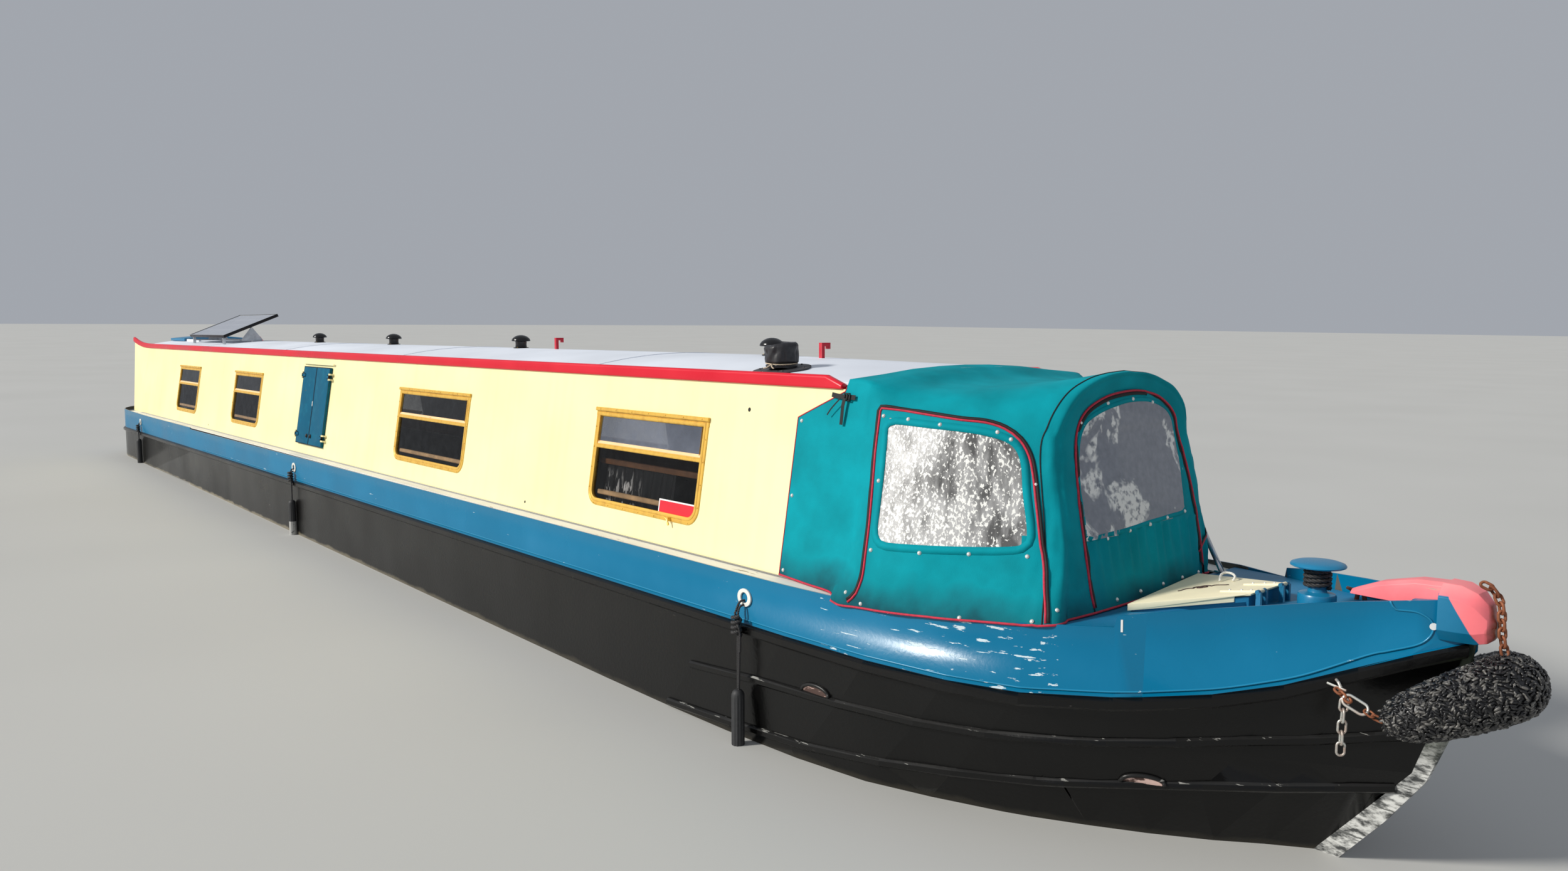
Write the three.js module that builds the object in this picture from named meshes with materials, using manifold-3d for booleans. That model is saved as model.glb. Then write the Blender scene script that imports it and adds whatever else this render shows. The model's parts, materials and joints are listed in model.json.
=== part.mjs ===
// A traditional steel narrowboat, moored: hull, cabin, covered fore well, steering and propeller.
// Millimetres. +X is the bow, +Y port, +Z up. The origin is under the flat baseplate at mid-length.
import * as THREE from "three";
import { mergeVertices } from "three/addons/utils/BufferGeometryUtils.js";
import Module from "manifold-3d";

// Driving dimensions of the boat.
const LENGTH = 18000;
const HALF_BEAM = 1040;
const GUNWALE_Z = 1204;
const CABIN_SIDE_HEIGHT = 900;
const CABIN_INSET = 100;
const TUMBLEHOME = 0.16;
const CABIN_FRONT_X = 6650;
const CABIN_REAR_X = -8120;
const ROOF_CAMBER = { main: 85, bow: 58, fallsFromX: 5000 };
const PLATE = 8;
const GAP = 0.3;
const RUNNING_CLEARANCE = 5;
const PROPELLER_Z = 300;
const SHAFT_RADIUS = 25;
const RUDDER_X = -8700;
const STOCK_RADIUS = 20;
const HINGE = { knuckle: 9, pin: 5, bore: 5.8, height: 30, lug: 16, play: 1, sides: 8 };

// Places worked out from them.
const SIDE_ANGLE = Math.atan(TUMBLEHOME);
const CABIN_FOOT_Y = HALF_BEAM - CABIN_INSET;
const RAIL_Z = GUNWALE_Z + CABIN_SIDE_HEIGHT;
const CABIN_TOP_Y = CABIN_FOOT_Y - TUMBLEHOME * CABIN_SIDE_HEIGHT;
const ROOF_EDGE_Z = RAIL_Z + 31;
const STERN_X = -LENGTH / 2;

const wasm = await Module();
wasm.setup();

// Geometry helpers.
function toSolid(geometry) {
  const bare = geometry.clone();
  bare.deleteAttribute("normal");
  bare.deleteAttribute("uv");
  const merged = mergeVertices(bare, 1e-3);
  const vertProperties = new Float32Array(merged.attributes.position.array);
  const triVerts = new Uint32Array(merged.index.array);
  return new wasm.Manifold(new wasm.Mesh({ numProp: 3, vertProperties, triVerts }));
}

function toGeometry(body) {
  const { vertProperties, triVerts } = body.getMesh();
  const geometry = new THREE.BufferGeometry();
  geometry.setAttribute("position", new THREE.BufferAttribute(new Float32Array(vertProperties), 3));
  geometry.setIndex(new THREE.BufferAttribute(new Uint32Array(triVerts), 1));
  geometry.computeVertexNormals();
  return geometry;
}

function join(...geometries) {
  return toGeometry(geometries.map(toSolid).reduce((sum, next) => sum.add(next)));
}

function cut(geometry, ...tools) {
  return toGeometry(tools.map(toSolid).reduce((rest, tool) => rest.subtract(tool), toSolid(geometry)));
}

function box(x0, x1, y0, y1, z0, z1) {
  const geometry = new THREE.BoxGeometry(x1 - x0, y1 - y0, z1 - z0);
  return geometry.translate((x0 + x1) / 2, (y0 + y1) / 2, (z0 + z1) / 2);
}

// A round bar along one axis, "x", "y" or "z", centred on a point.
function rod(axis, [x, y, z], radius, length, sides = 12) {
  const geometry = new THREE.CylinderGeometry(radius, radius, length, sides);
  if (axis === "x") geometry.rotateZ(Math.PI / 2);
  if (axis === "z") geometry.rotateX(Math.PI / 2);
  return geometry.translate(x, y, z);
}

// The moving half of a hinge along one axis: a bored knuckle, with what carries it joined on.
function knuckle(axis, at, ...carriers) {
  const { knuckle: radius, bore, height, sides } = HINGE;
  const round = rod(axis, at, radius, height, sides);
  return cut(join(round, ...carriers), rod(axis, at, bore, height + 20, sides));
}

// The fixed half of a hinge: two lugs past the knuckle's ends and the pin between them. The carrier makes
// the foot of one lug from its two ends along the axis.
function lugs(axis, at, carrier) {
  const place = { x: 0, y: 1, z: 2 }[axis];
  const near = HINGE.height / 2 + HINGE.play;
  const spans = [[near, near + HINGE.lug], [-near - HINGE.lug, -near]];
  const ends = spans.map((span) => span.map((end) => at[place] + end));
  const rounds = ends.map(([low, high]) => {
    const middle = at.map((value, i) => (i === place ? (low + high) / 2 : value));
    return rod(axis, middle, HINGE.knuckle, HINGE.lug, HINGE.sides);
  });
  const pin = rod(axis, at, HINGE.pin, 2 * near + HINGE.lug, HINGE.sides);
  return join(pin, ...rounds, ...ends.map(([low, high]) => carrier(low, high)));
}

// A prism that stands on an outline of [x, y] points, from z0 up to z1.
function standing(outline, z0, z1, holes = []) {
  const shape = new THREE.Shape(outline.map(([x, y]) => new THREE.Vector2(x, y)));
  for (const hole of holes) shape.holes.push(new THREE.Path(hole.map(([x, y]) => new THREE.Vector2(x, y))));
  return new THREE.ExtrudeGeometry(shape, { depth: z1 - z0, bevelEnabled: false }).translate(0, 0, z0);
}

// A prism across the boat's length, of an outline of [y, z] points, from x0 forward to x1.
function alongX(outline, x0, x1, holes = []) {
  const turn = new THREE.Matrix4().makeBasis(
    new THREE.Vector3(0, 1, 0),
    new THREE.Vector3(0, 0, 1),
    new THREE.Vector3(1, 0, 0),
  );
  return standing(outline, x0, x1, holes).applyMatrix4(turn);
}

function apart(p, q) {
  return Math.hypot(p[0] - q[0], p[1] - q[1], p[2] - q[2]);
}

// A closed body through rings of [x, y, z] points, each ring with as many points as the next.
function loft(rings) {
  const count = rings[0].length;
  const points = rings.flat();
  const index = [];
  for (let i = 0; i + 1 < rings.length; i += 1)
    for (let j = 0; j < count; j += 1) {
      const a = i * count + j;
      const b = i * count + ((j + 1) % count);
      const [c, d] = [a + count, b + count];
      if (apart(points[a], points[d]) < apart(points[b], points[c]) - 1e-3) index.push(a, b, d, a, d, c);
      else index.push(a, b, c, b, d, c);
    }
  const caps = [[rings[0], 0, true], [rings.at(-1), (rings.length - 1) * count, false]];
  for (const [ring, first, flip] of caps) {
    const centre = [0, 1, 2].map((k) => ring.reduce((sum, p) => sum + p[k], 0) / count);
    points.push(centre);
    for (let j = 0; j < count; j += 1) {
      const a = first + j;
      const b = first + ((j + 1) % count);
      index.push(points.length - 1, flip ? b : a, flip ? a : b);
    }
  }
  const geometry = new THREE.BufferGeometry();
  geometry.setAttribute("position", new THREE.Float32BufferAttribute(points.flat(), 3));
  geometry.setIndex(index);
  return facingOut(geometry);
}

// The same closed surface with its faces turned to the outside.
function facingOut(geometry) {
  const p = geometry.attributes.position;
  const order = Array.from(geometry.index.array);
  const [a, b, c] = [new THREE.Vector3(), new THREE.Vector3(), new THREE.Vector3()];
  let volume = 0;
  for (let i = 0; i < order.length; i += 3) {
    a.fromBufferAttribute(p, order[i]);
    b.fromBufferAttribute(p, order[i + 1]);
    c.fromBufferAttribute(p, order[i + 2]);
    volume += a.dot(b.cross(c));
  }
  if (volume < 0)
    for (let i = 0; i < order.length; i += 3) [order[i + 1], order[i + 2]] = [order[i + 2], order[i + 1]];
  return geometry.setIndex(order);
}

// The port copy of a starboard piece.
function mirrored(geometry) {
  const flat = geometry.index ? geometry.clone() : mergeVertices(bareCopy(geometry), 1e-3);
  return facingOut(flat.applyMatrix4(new THREE.Matrix4().makeScale(1, -1, 1)));
}

function bareCopy(geometry) {
  const bare = geometry.clone();
  bare.deleteAttribute("normal");
  bare.deleteAttribute("uv");
  return bare;
}

// A round bar along a smooth curve through [x, y, z] points.
function bar(points, radius, sides = 8, steps = 16) {
  const curve = new THREE.CatmullRomCurve3(points.map((p) => new THREE.Vector3(...p)));
  const section = new THREE.Shape();
  for (let i = 0; i < sides; i += 1) {
    const turn = (2 * Math.PI * i) / sides;
    const place = [radius * Math.cos(turn), radius * Math.sin(turn)];
    if (i === 0) section.moveTo(...place);
    else section.lineTo(...place);
  }
  section.closePath();
  return new THREE.ExtrudeGeometry(section, { steps, extrudePath: curve, bevelEnabled: false });
}

// A body turned about a vertical line through (x, y), from [radius, z] points that start and end on it.
function turned(profile, x, y, segments = 16) {
  const geometry = new THREE.LatheGeometry(profile.map(([r, z]) => new THREE.Vector2(r, z)), segments);
  return geometry.rotateX(Math.PI / 2).translate(x, y, 0);
}

// The value of one column of a table at a place between its rows.
function between(rows, key, place, column) {
  if (place <= rows[0][key]) return rows[0][column];
  for (let i = 1; i < rows.length; i += 1)
    if (place <= rows[i][key]) {
      const share = (place - rows[i - 1][key]) / (rows[i][key] - rows[i - 1][key]);
      return rows[i - 1][column] + share * (rows[i][column] - rows[i - 1][column]);
    }
  return rows.at(-1)[column];
}

// Half width of the bow's skin at a place along the boat and a height.
function skinHalf(x, z) {
  const levels = [
    [0, between(BOW, "back", STEM_X.base - x, "base")],
    [WET_Z, between(BOW, "back", STEM_X.wet - x, "wet")],
    [MID_Z, between(BOW, "back", STEM_X.mid - x, "mid")],
    [between(BOW, "back", STEM_X.strake - x, "strake"), between(BOW, "back", STEM_X.strake - x, "top")],
    [between(BOW, "back", STEM_X.edge - x, "edge"), between(BOW, "back", STEM_X.edge - x, "top")],
  ].map(([height, half]) => ({ height, half }));
  return between(levels, "height", z, "half");
}

const boat = new THREE.Group();

function add(name, geometry, color, roughness, metalness, parent = boat) {
  const clean = geometry.index ? geometry : mergeVertices(bareCopy(geometry), 1e-3);
  clean.computeVertexNormals();
  const mesh = new THREE.Mesh(clean, new THREE.MeshStandardMaterial({ color, roughness, metalness }));
  mesh.name = name;
  parent.add(mesh);
  return mesh;
}

// Hull. The bow's half widths at four heights and the heights of its edges and strakes, each row at a
// distance back from the stem, which is raked: every height has its own stem place.
const STEM_X = { base: 8150, wet: 8430, mid: 8765, strake: 8920, edge: 8930 };
const WET_Z = 360;
const MID_Z = 760;
const BOW = [
  { back: 0, base: 6, wet: 10, mid: 8, top: 20, edge: 1440, strake: 1285, second: 940, third: 705 },
  { back: 150, base: 100, wet: 125, mid: 108, top: 100, edge: 1422, strake: 1225, second: 912, third: 680 },
  { back: 300, base: 215, wet: 255, mid: 205, top: 190, edge: 1405, strake: 1160, second: 880, third: 655 },
  { back: 500, base: 365, wet: 400, mid: 335, top: 332, edge: 1380, strake: 1075, second: 850, third: 630 },
  { back: 700, base: 500, wet: 525, mid: 485, top: 477, edge: 1350, strake: 1020, second: 818, third: 605 },
  { back: 900, base: 615, wet: 640, mid: 620, top: 620, edge: 1315, strake: 990, second: 790, third: 575 },
  { back: 990, base: 658, wet: 685, mid: 673, top: 678, edge: 1296, strake: 979, second: 780, third: 563 },
  { back: 1000, base: 663, wet: 690, mid: 679, top: 684, edge: 1252, strake: 978, second: 779, third: 562 },
  { back: 1300, base: 785, wet: 815, mid: 824, top: 848, edge: 1237, strake: 957, second: 752, third: 535 },
  { back: 1600, base: 870, wet: 918, mid: 914, top: 945, edge: 1218, strake: 955, second: 738, third: 505 },
  { back: 2000, base: 940, wet: 980, mid: 987, top: 1008, edge: 1204, strake: 958, second: 730, third: 470 },
  { back: 2500, base: 985, wet: 1017, mid: 1022, top: 1036, edge: 1204, strake: 963, second: 718, third: 452 },
  { back: 3000, base: 1000, wet: 1033, mid: 1034, top: 1040, edge: 1204, strake: 965, second: 680, third: 432 },
  { back: 3600, base: 1010, wet: 1040, mid: 1040, top: 1040, edge: 1204, strake: 965, second: 680, third: 432 },
];
// The swim under the stern tapers to the sternpost.
const STERNPOST_X = -8050;
const SWIM = [
  { back: 0, half: 30 },
  { back: 300, half: 100 },
  { back: 700, half: 220 },
  { back: 1200, half: 400 },
  { back: 1800, half: 620 },
  { back: 2400, half: 830 },
  { back: 3000, half: 970 },
  { back: 3450, half: 1040 },
];
const COUNTER_DEPTH = 850;
const COUNTER_FLOOR_Z = 530;
const COUNTER_ROUND = [0, 15, 60, 130, 230, 360, 520, 690, 850];
const STERN_RISE = 40;

// One ring of the hull, from its base up the starboard side and down the port side.
function hullRing(levels) {
  const starboard = levels.map(([x, half, z]) => [x, -half, z]);
  const port = levels.map(([x, half, z]) => [x, half, z]).reverse();
  return [...starboard, ...port];
}

// The body from sternpost to stem. Its skin moves inward by inset, and its floor and rim move up by it.
function mainBody(inset, rim) {
  const floor = inset > 0 ? PLATE + 2 : 0;
  const rings = [];
  for (const { back, half } of SWIM.slice(inset > 0 ? 1 : 0)) {
    const x = STERNPOST_X + back;
    const base = Math.min(half, 1010) - inset;
    rings.push(hullRing([
      [x, base, floor],
      [x, half - inset, WET_Z],
      [x, half - inset, MID_Z],
      [x, half - inset, 965],
      [x, half - inset, GUNWALE_Z - 20 + rim],
    ]));
  }
  const rows = BOW.slice(inset > 0 ? 1 : 0).reverse();
  for (const row of rows)
    rings.push(hullRing([
      [STEM_X.base - row.back, row.base - inset, floor],
      [STEM_X.wet - row.back, row.wet - inset, WET_Z],
      [STEM_X.mid - row.back, row.mid - inset, MID_Z],
      [STEM_X.strake - row.back, row.top - inset, row.strake],
      [STEM_X.edge - row.back, row.top - inset, row.edge + rim],
    ]));
  return loft(rings);
}

// Half width of the counter at a distance forward from the stern end.
function counterHalf(forward) {
  if (forward >= COUNTER_DEPTH) return HALF_BEAM;
  const aft = 1 - forward / COUNTER_DEPTH;
  return HALF_BEAM * Math.pow(1 - Math.pow(aft, 2.3), 1 / 2.3);
}

function sternEdgeZ(x) {
  const share = Math.min(1, Math.max(0, (-6500 - x) / 2500));
  return GUNWALE_Z + STERN_RISE * share * share;
}

function counterBody(inset, rim) {
  const forward = [...COUNTER_ROUND.map((f) => (f === 0 ? 3 : f)), 1300, 1900, 2500, 4500];
  const rings = forward.map((f) => {
    const x = STERN_X + f + inset * (1 - Math.min(1, f / COUNTER_DEPTH));
    const half = counterHalf(f) - inset;
    return hullRing([
      [x, half, COUNTER_FLOOR_Z + inset],
      [x, half, 940],
      [x, half, sternEdgeZ(x) + rim],
    ]);
  });
  return loft(rings.filter((ring) => ring[0][1] < -10));
}

// A D-section rubbing strake along points of [x, half width, z of its top], on the starboard skin.
const STRAKE_SECTION = [
  { out: -5, down: 52 },
  { out: 12, down: 52 },
  { out: 25, down: 40 },
  { out: 25, down: 12 },
  { out: 12, down: 0 },
  { out: -5, down: 0 },
];
function strake(places, size = 1) {
  const rings = places.map(([x, half, z], i) => {
    const before = places[Math.max(0, i - 1)];
    const after = places[Math.min(places.length - 1, i + 1)];
    const along = new THREE.Vector2(after[0] - before[0], -(after[1] - before[1])).normalize();
    return STRAKE_SECTION.map(({ out, down }) => [
      x + along.y * out * size,
      -half - along.x * out * size,
      z - down * size,
    ]);
  });
  return loft(rings);
}

// Points of a strake on the bow's skin, found between the two levels of the hull's rings round it.
function bowStrake(column, rows) {
  return rows.map((row) => {
    const z = row[column] - 26;
    const [low, high] = z < MID_Z
      ? [{ x: STEM_X.wet, half: row.wet, z: WET_Z }, { x: STEM_X.mid, half: row.mid, z: MID_Z }]
      : [{ x: STEM_X.mid, half: row.mid, z: MID_Z }, { x: STEM_X.strake, half: row.top, z: row.strake }];
    const share = (z - low.z) / (high.z - low.z);
    return [
      low.x + share * (high.x - low.x) - row.back,
      low.half + share * (high.half - low.half),
      row[column],
    ];
  });
}

// The stem bar stands ahead of the plates, from under the baseplate up to the strake.
const STEM_BAR_HALF = 13;
const STEM_BAR = [
  { aft: 8040, fore: 8230, z: 0 },
  { aft: 8340, fore: 8522, z: WET_Z },
  { aft: 8480, fore: 8668, z: 540 },
  { aft: 8590, fore: 8806, z: 740 },
  { aft: 8680, fore: 8872, z: 920 },
  { aft: 8770, fore: 8912, z: 1100 },
  { aft: 8840, fore: 8938, z: 1285 },
];
function makeHull() {
  const bowRows = BOW.slice().reverse();
  const counterPlaces = COUNTER_ROUND.map((f) => [STERN_X + f, counterHalf(f), 965]);
  const topPlaces = [
    ...counterPlaces,
    [-4500, HALF_BEAM, 965],
    [0, HALF_BEAM, 965],
    ...bowRows.map((row) => [STEM_X.strake - row.back, row.top, row.strake]),
  ];
  const lowRows = bowRows.slice(1);
  const starboardStrakes = [
    strake(topPlaces),
    strake(bowStrake("second", lowRows), 0.75),
    strake(bowStrake("third", lowRows), 0.75),
  ];
  const stemBar = loft(STEM_BAR.map(({ aft, fore, z }) => [
    [aft, -STEM_BAR_HALF, z],
    [fore, -STEM_BAR_HALF, z],
    [fore, STEM_BAR_HALF, z],
    [aft, STEM_BAR_HALF, z],
  ]));
  const skegHeight = 60;
  const skeg = box(-8760, STERNPOST_X + 400, -30, 30, 0, skegHeight);
  const sternTube = rod("x", [STERNPOST_X + 90, 0, PROPELLER_Z], 40, 260, 16);
  const tubeProfile = [[0, COUNTER_FLOOR_Z], [45, COUNTER_FLOOR_Z], [45, 1180], [0, 1180]];
  const rudderTube = turned(tubeProfile, RUDDER_X, 0);
  const outer = [
    mainBody(0, 0),
    counterBody(0, 0),
    ...starboardStrakes,
    ...starboardStrakes.map(mirrored),
    stemBar,
    skeg,
    sternTube,
  ].map(toSolid).reduce((sum, next) => sum.add(next));
  const inner = toSolid(mainBody(PLATE, 60)).add(toSolid(counterBody(PLATE, 60)));
  const shaftHole = rod("x", [STERNPOST_X + 90, 0, PROPELLER_Z], SHAFT_RADIUS + 0.5, 900, 24);
  const rudderHole = rod("z", [RUDDER_X, 0, 850], STOCK_RADIUS + 0.5, 800, 24);
  const cupHole = rod("z", [RUDDER_X, 0, skegHeight / 2 + 20], STOCK_RADIUS + 0.5, skegHeight, 24);
  const noseCut = box(8840, 9200, -300, 300, 1287, 1600);
  const tongueCut = box(8700, 8850, -60, 60, 1391, 1600);
  let hull = outer.subtract(inner).add(toSolid(rudderTube));
  for (const tool of [shaftHole, rudderHole, cupHole, noseCut, tongueCut])
    hull = hull.subtract(toSolid(tool));
  return toGeometry(hull);
}

add("hull", makeHull(), 0x14181b, 0.45, 0.3);

// Red stem head in front of the bulwarks, with a tongue that runs aft between them.
const STEM_HEAD = [
  { x: 8840.5, half: 96, low: 1288, high: 1490 },
  { x: 8900, half: 88, low: 1288, high: 1488 },
  { x: 8950, half: 74, low: 1288, high: 1466 },
  { x: 8985, half: 52, low: 1296, high: 1425 },
  { x: 9000, half: 24, low: 1315, high: 1365 },
];
function makeStemHead() {
  const nose = loft(STEM_HEAD.map(({ x, half, low, high }) => [
    [x, -half * 0.7, low],
    [x, -half, low + 40],
    [x, -half, high - 45],
    [x, -half * 0.55, high],
    [x, half * 0.55, high],
    [x, half, high - 45],
    [x, half, low + 40],
    [x, half * 0.7, low],
  ]));
  const tongue = loft([
    { x: 8520, half: 40, high: 1408 },
    { x: 8620, half: 50, high: 1452 },
    { x: 8750, half: 55, high: 1484 },
    { x: 8850, half: 55, high: 1488 },
  ].map(({ x, half, high }) => [
    [x, -half, 1392],
    [x, -half, high - 12],
    [x, -half * 0.6, high],
    [x, half * 0.6, high],
    [x, half, high - 12],
    [x, half, 1392],
  ]));
  return join(nose, tongue);
}
add("stem_head", makeStemHead(), 0xd8505c, 0.5, 0.1);

// Side decks between hull and cabin, one plate each side, forward to the foredeck.
const FOREDECK = { aftX: 7600, foreX: 8700, aftZ: 1219, rise: 0.105 };
const DECK_OUTER = HALF_BEAM - PLATE - GAP;
const DECK_INNER = CABIN_FOOT_Y - 25;
function sideDeck() {
  const bow = BOW.filter((row) => STEM_X.edge - row.back < 7630 && row.back <= 3000).reverse();
  const outer = bow.map((row) => [STEM_X.edge - row.back, -(row.top - PLATE - 1)]);
  const endX = FOREDECK.aftX - 4;
  const inner = [
    [endX, 10 - skinHalf(endX, GUNWALE_Z)],
    [endX, -740],
    [6930, -898],
    [CABIN_FRONT_X + 5, -DECK_INNER],
  ];
  const outline = [
    [CABIN_REAR_X + 20, -DECK_INNER],
    [CABIN_REAR_X + 20, -DECK_OUTER],
    ...outer,
    ...inner,
  ];
  return standing(outline, GUNWALE_Z - PLATE, GUNWALE_Z);
}
add("side_deck_starboard", sideDeck(), 0xb9b4a6, 0.7, 0.1);
add("side_deck_port", mirrored(sideDeck()), 0xb9b4a6, 0.7, 0.1);

// Counter deck round the rudder tube.
function counterDeck() {
  const rim = COUNTER_ROUND.slice(1).map((f) => [STERN_X + f + PLATE, counterHalf(f) - PLATE - 1.5]);
  const outline = [...rim.map(([x, y]) => [x, -y]), [CABIN_REAR_X - 1, -DECK_OUTER]];
  const port = outline.map(([x, y]) => [x, -y]).reverse();
  const hole = Array.from({ length: 12 }, (_, i) => [
    RUDDER_X + 50 * Math.cos((2 * Math.PI * i) / 12),
    50 * Math.sin((2 * Math.PI * i) / 12),
  ]);
  return standing([...outline, ...port], 1188, 1196, [hole]);
}
add("counter_deck", counterDeck(), 0x2b3034, 0.7, 0.2);

// Foredeck plate over the front locker, with the bulkhead under its aft edge and a coaming for the lid.
const LOCKER = { aftX: 7750, foreX: 8170, aftHalf: 265, foreHalf: 165, coaming: 55 };
function deckZ(x) {
  return FOREDECK.aftZ + FOREDECK.rise * (x - FOREDECK.aftX);
}
const LID_PIN_X = LOCKER.foreX + 34;
const LID_PINS = [-95, 95].map((y) => [LID_PIN_X, y, deckZ(LID_PIN_X) + LOCKER.coaming + 14]);
function sloped(geometry, fromZ) {
  const p = geometry.attributes.position;
  for (let i = 0; i < p.count; i += 1) p.setZ(i, p.getZ(i) - fromZ + deckZ(p.getX(i)));
  return geometry;
}
function foredeck() {
  const rows = BOW.filter((row) => {
    const x = STEM_X.strake - row.back;
    return x > FOREDECK.aftX && x < FOREDECK.foreX;
  });
  const skin = rows.map((row) => [STEM_X.strake - row.back, row.top - PLATE - 3]);
  const ends = [FOREDECK.aftX, FOREDECK.foreX].map((x) => [x, skinHalf(x, deckZ(x)) - PLATE - 3]);
  const starboard = [ends[0], ...skin.reverse(), ends[1]].map(([x, y]) => [x, -y]);
  const port = starboard.map(([x, y]) => [x, -y]).reverse();
  const { aftX, foreX, aftHalf: aft, foreHalf: fore, coaming } = LOCKER;
  const mouth = [[aftX, -aft], [foreX, -fore], [foreX, fore], [aftX, aft]];
  const outside = [[aftX - 8, -aft - 8], [foreX + 8, -fore - 8], [foreX + 8, fore + 8], [aftX - 8, aft + 8]];
  const plate = sloped(standing([...starboard, ...port], -PLATE, 0, [mouth]), 0);
  const rim = sloped(standing(outside, -PLATE, coaming, [mouth]), 0);
  const wallHeights = [180, WET_Z, 950, FOREDECK.aftZ - 2];
  const wallSide = wallHeights.map((z) => [skinHalf(FOREDECK.aftX + PLATE, z) - 34, z]);
  const wall = alongX(
    [...wallSide, ...wallSide.map(([y, z]) => [-y, z]).reverse()],
    FOREDECK.aftX, FOREDECK.aftX + PLATE,
  );
  const fixed = LID_PINS.map((at) => lugs("y", at, (low, high) =>
    box(at[0] - 5, at[0] + 14, low + 1, high - 1, deckZ(at[0]) - 4, at[2])));
  return join(plate, rim, wall, ...fixed);
}
add("foredeck", foredeck(), 0x1f6f9c, 0.6, 0.2);

// Decking inside: the cabin sole on its bearers, and the fore well's floor.
const SOLE_Z = 158;
function cabinSole() {
  const foreX = 6400;
  const aftX = -4400;
  const bearerPitch = 2060;
  const outline = [[aftX, -900], [4600, -980], [foreX, -850], [foreX, 850], [4600, 980], [aftX, 900]];
  const plate = standing(outline, SOLE_Z - 18, SOLE_Z);
  const bearers = Array.from({ length: 6 }, (_, i) => {
    const x = -4200 + i * bearerPitch;
    return box(x, x + 50, -820, 820, PLATE + 2 + GAP, SOLE_Z - 17);
  });
  return join(plate, ...bearers);
}
add("cabin_sole", cabinSole(), 0x8a6b48, 0.6, 0);

const WELL_FLOOR_Z = 640;
function wellFloor() {
  const aftX = CABIN_FRONT_X + GAP;
  const foreX = FOREDECK.aftX - GAP;
  const half = (x) => skinHalf(x, WELL_FLOOR_Z - 12) - 16;
  const outline = [
    [aftX, -half(aftX)],
    [foreX, -half(foreX)],
    [foreX, half(foreX)],
    [aftX, half(aftX)],
  ];
  const plate = standing(outline, WELL_FLOOR_Z - 12, WELL_FLOOR_Z);
  const legs = [[6720, 400], [7500, 300]].flatMap(([x, y]) => [
    box(x, x + 50, y, y + 50, 10 + GAP, WELL_FLOOR_Z - 11),
    box(x, x + 50, -y - 50, -y, 10 + GAP, WELL_FLOOR_Z - 11),
  ]);
  return join(plate, ...legs);
}
add("well_floor", wellFloor(), 0x6d6458, 0.8, 0);

// Engine as one plain block on two bearers down to the baseplate.
add("engine_block", join(
  box(-7250, -6500, -215, 215, 330, 980),
  box(-7150, -6600, 110, 150, 10 + GAP, 340),
  box(-7150, -6600, -150, -110, 10 + GAP, 340),
), 0x39506b, 0.5, 0.5);

// Cabin. A side is drawn flat: along the boat, up the slope from the side deck, and outward.
function ontoSide(geometry) {
  const [sin, cos] = [Math.sin(SIDE_ANGLE), Math.cos(SIDE_ANGLE)];
  const place = new THREE.Matrix4().makeBasis(
    new THREE.Vector3(1, 0, 0),
    new THREE.Vector3(0, sin, cos),
    new THREE.Vector3(0, -cos, sin),
  ).setPosition(0, -CABIN_FOOT_Y, GUNWALE_Z + GAP + SIDE_THICKNESS * sin);
  return geometry.applyMatrix4(place);
}
const SIDE_THICKNESS = 20;
const SIDE_TOP = (CABIN_SIDE_HEIGHT - 2 * GAP - SIDE_THICKNESS * Math.sin(SIDE_ANGLE)) / Math.cos(SIDE_ANGLE);
const WINDOWS = [
  { name: "window_1", aftX: -5710, foreX: -4720 },
  { name: "window_2", aftX: -3220, foreX: -2210 },
  { name: "window_3", aftX: 1455, foreX: 2730 },
  { name: "window_4", aftX: 4460, foreX: 5573 },
];
const WINDOW = { bottom: 139, top: 709, corner: 62, flange: 22, border: 42, transom: 0.62, barHeight: 34 };
const SIDE_HATCH = { aftX: -870, foreX: -160, bottom: 92, top: 822, lap: 40, leaf: 20, middle: 7 };

// Middles of a hatch leaf's two knuckles, off its outer edge and a little proud of its face.
function hatchPins(edge, inward) {
  const { bottom, top, leaf } = SIDE_HATCH;
  return [bottom + 85, top - 85].map((v) => [edge - inward * 10, v, RUNNING_CLEARANCE + leaf + 5]);
}

// The outline of a window at an inset from its frame's edge: square at the top, rounded at the bottom.
function windowOutline({ aftX, foreX }, inset, steps = 4) {
  const radius = Math.max(WINDOW.corner - inset, 12);
  const [x0, x1] = [aftX + inset, foreX - inset];
  const [v0, v1] = [WINDOW.bottom + inset, WINDOW.top - inset];
  const points = [[x1, v1], [x0, v1]];
  for (let i = 0; i <= steps; i += 1) {
    const turn = (Math.PI / 2) * (i / steps);
    points.push([x0 + radius - radius * Math.cos(turn), v0 + radius - radius * Math.sin(turn)]);
  }
  for (let i = 0; i <= steps; i += 1) {
    const turn = (Math.PI / 2) * (i / steps);
    points.push([x1 - radius + radius * Math.sin(turn), v0 + radius - radius * Math.cos(turn)]);
  }
  return points;
}

// The cabin's side leans out and its top sweeps aft and up over its last metre.
const SWEEP = [
  { x: -8300, up: 88, out: 62 },
  { x: -8200, up: 60, out: 50 },
  { x: -8100, up: 38, out: 40 },
  { x: -7950, up: 16, out: 26 },
  { x: -7750, up: 4, out: 12 },
  { x: -7500, up: 0, out: 4 },
  { x: -7200, up: 0, out: 0 },
];
function swept(x, column) {
  return between(SWEEP, "x", x, column);
}
function leanOut(geometry) {
  const p = geometry.attributes.position;
  for (let i = 0; i < p.count; i += 1) {
    const share = Math.max(0, (p.getZ(i) - GUNWALE_Z) / CABIN_SIDE_HEIGHT);
    p.setY(i, p.getY(i) - swept(p.getX(i), "out") * share);
  }
  return geometry;
}

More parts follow.
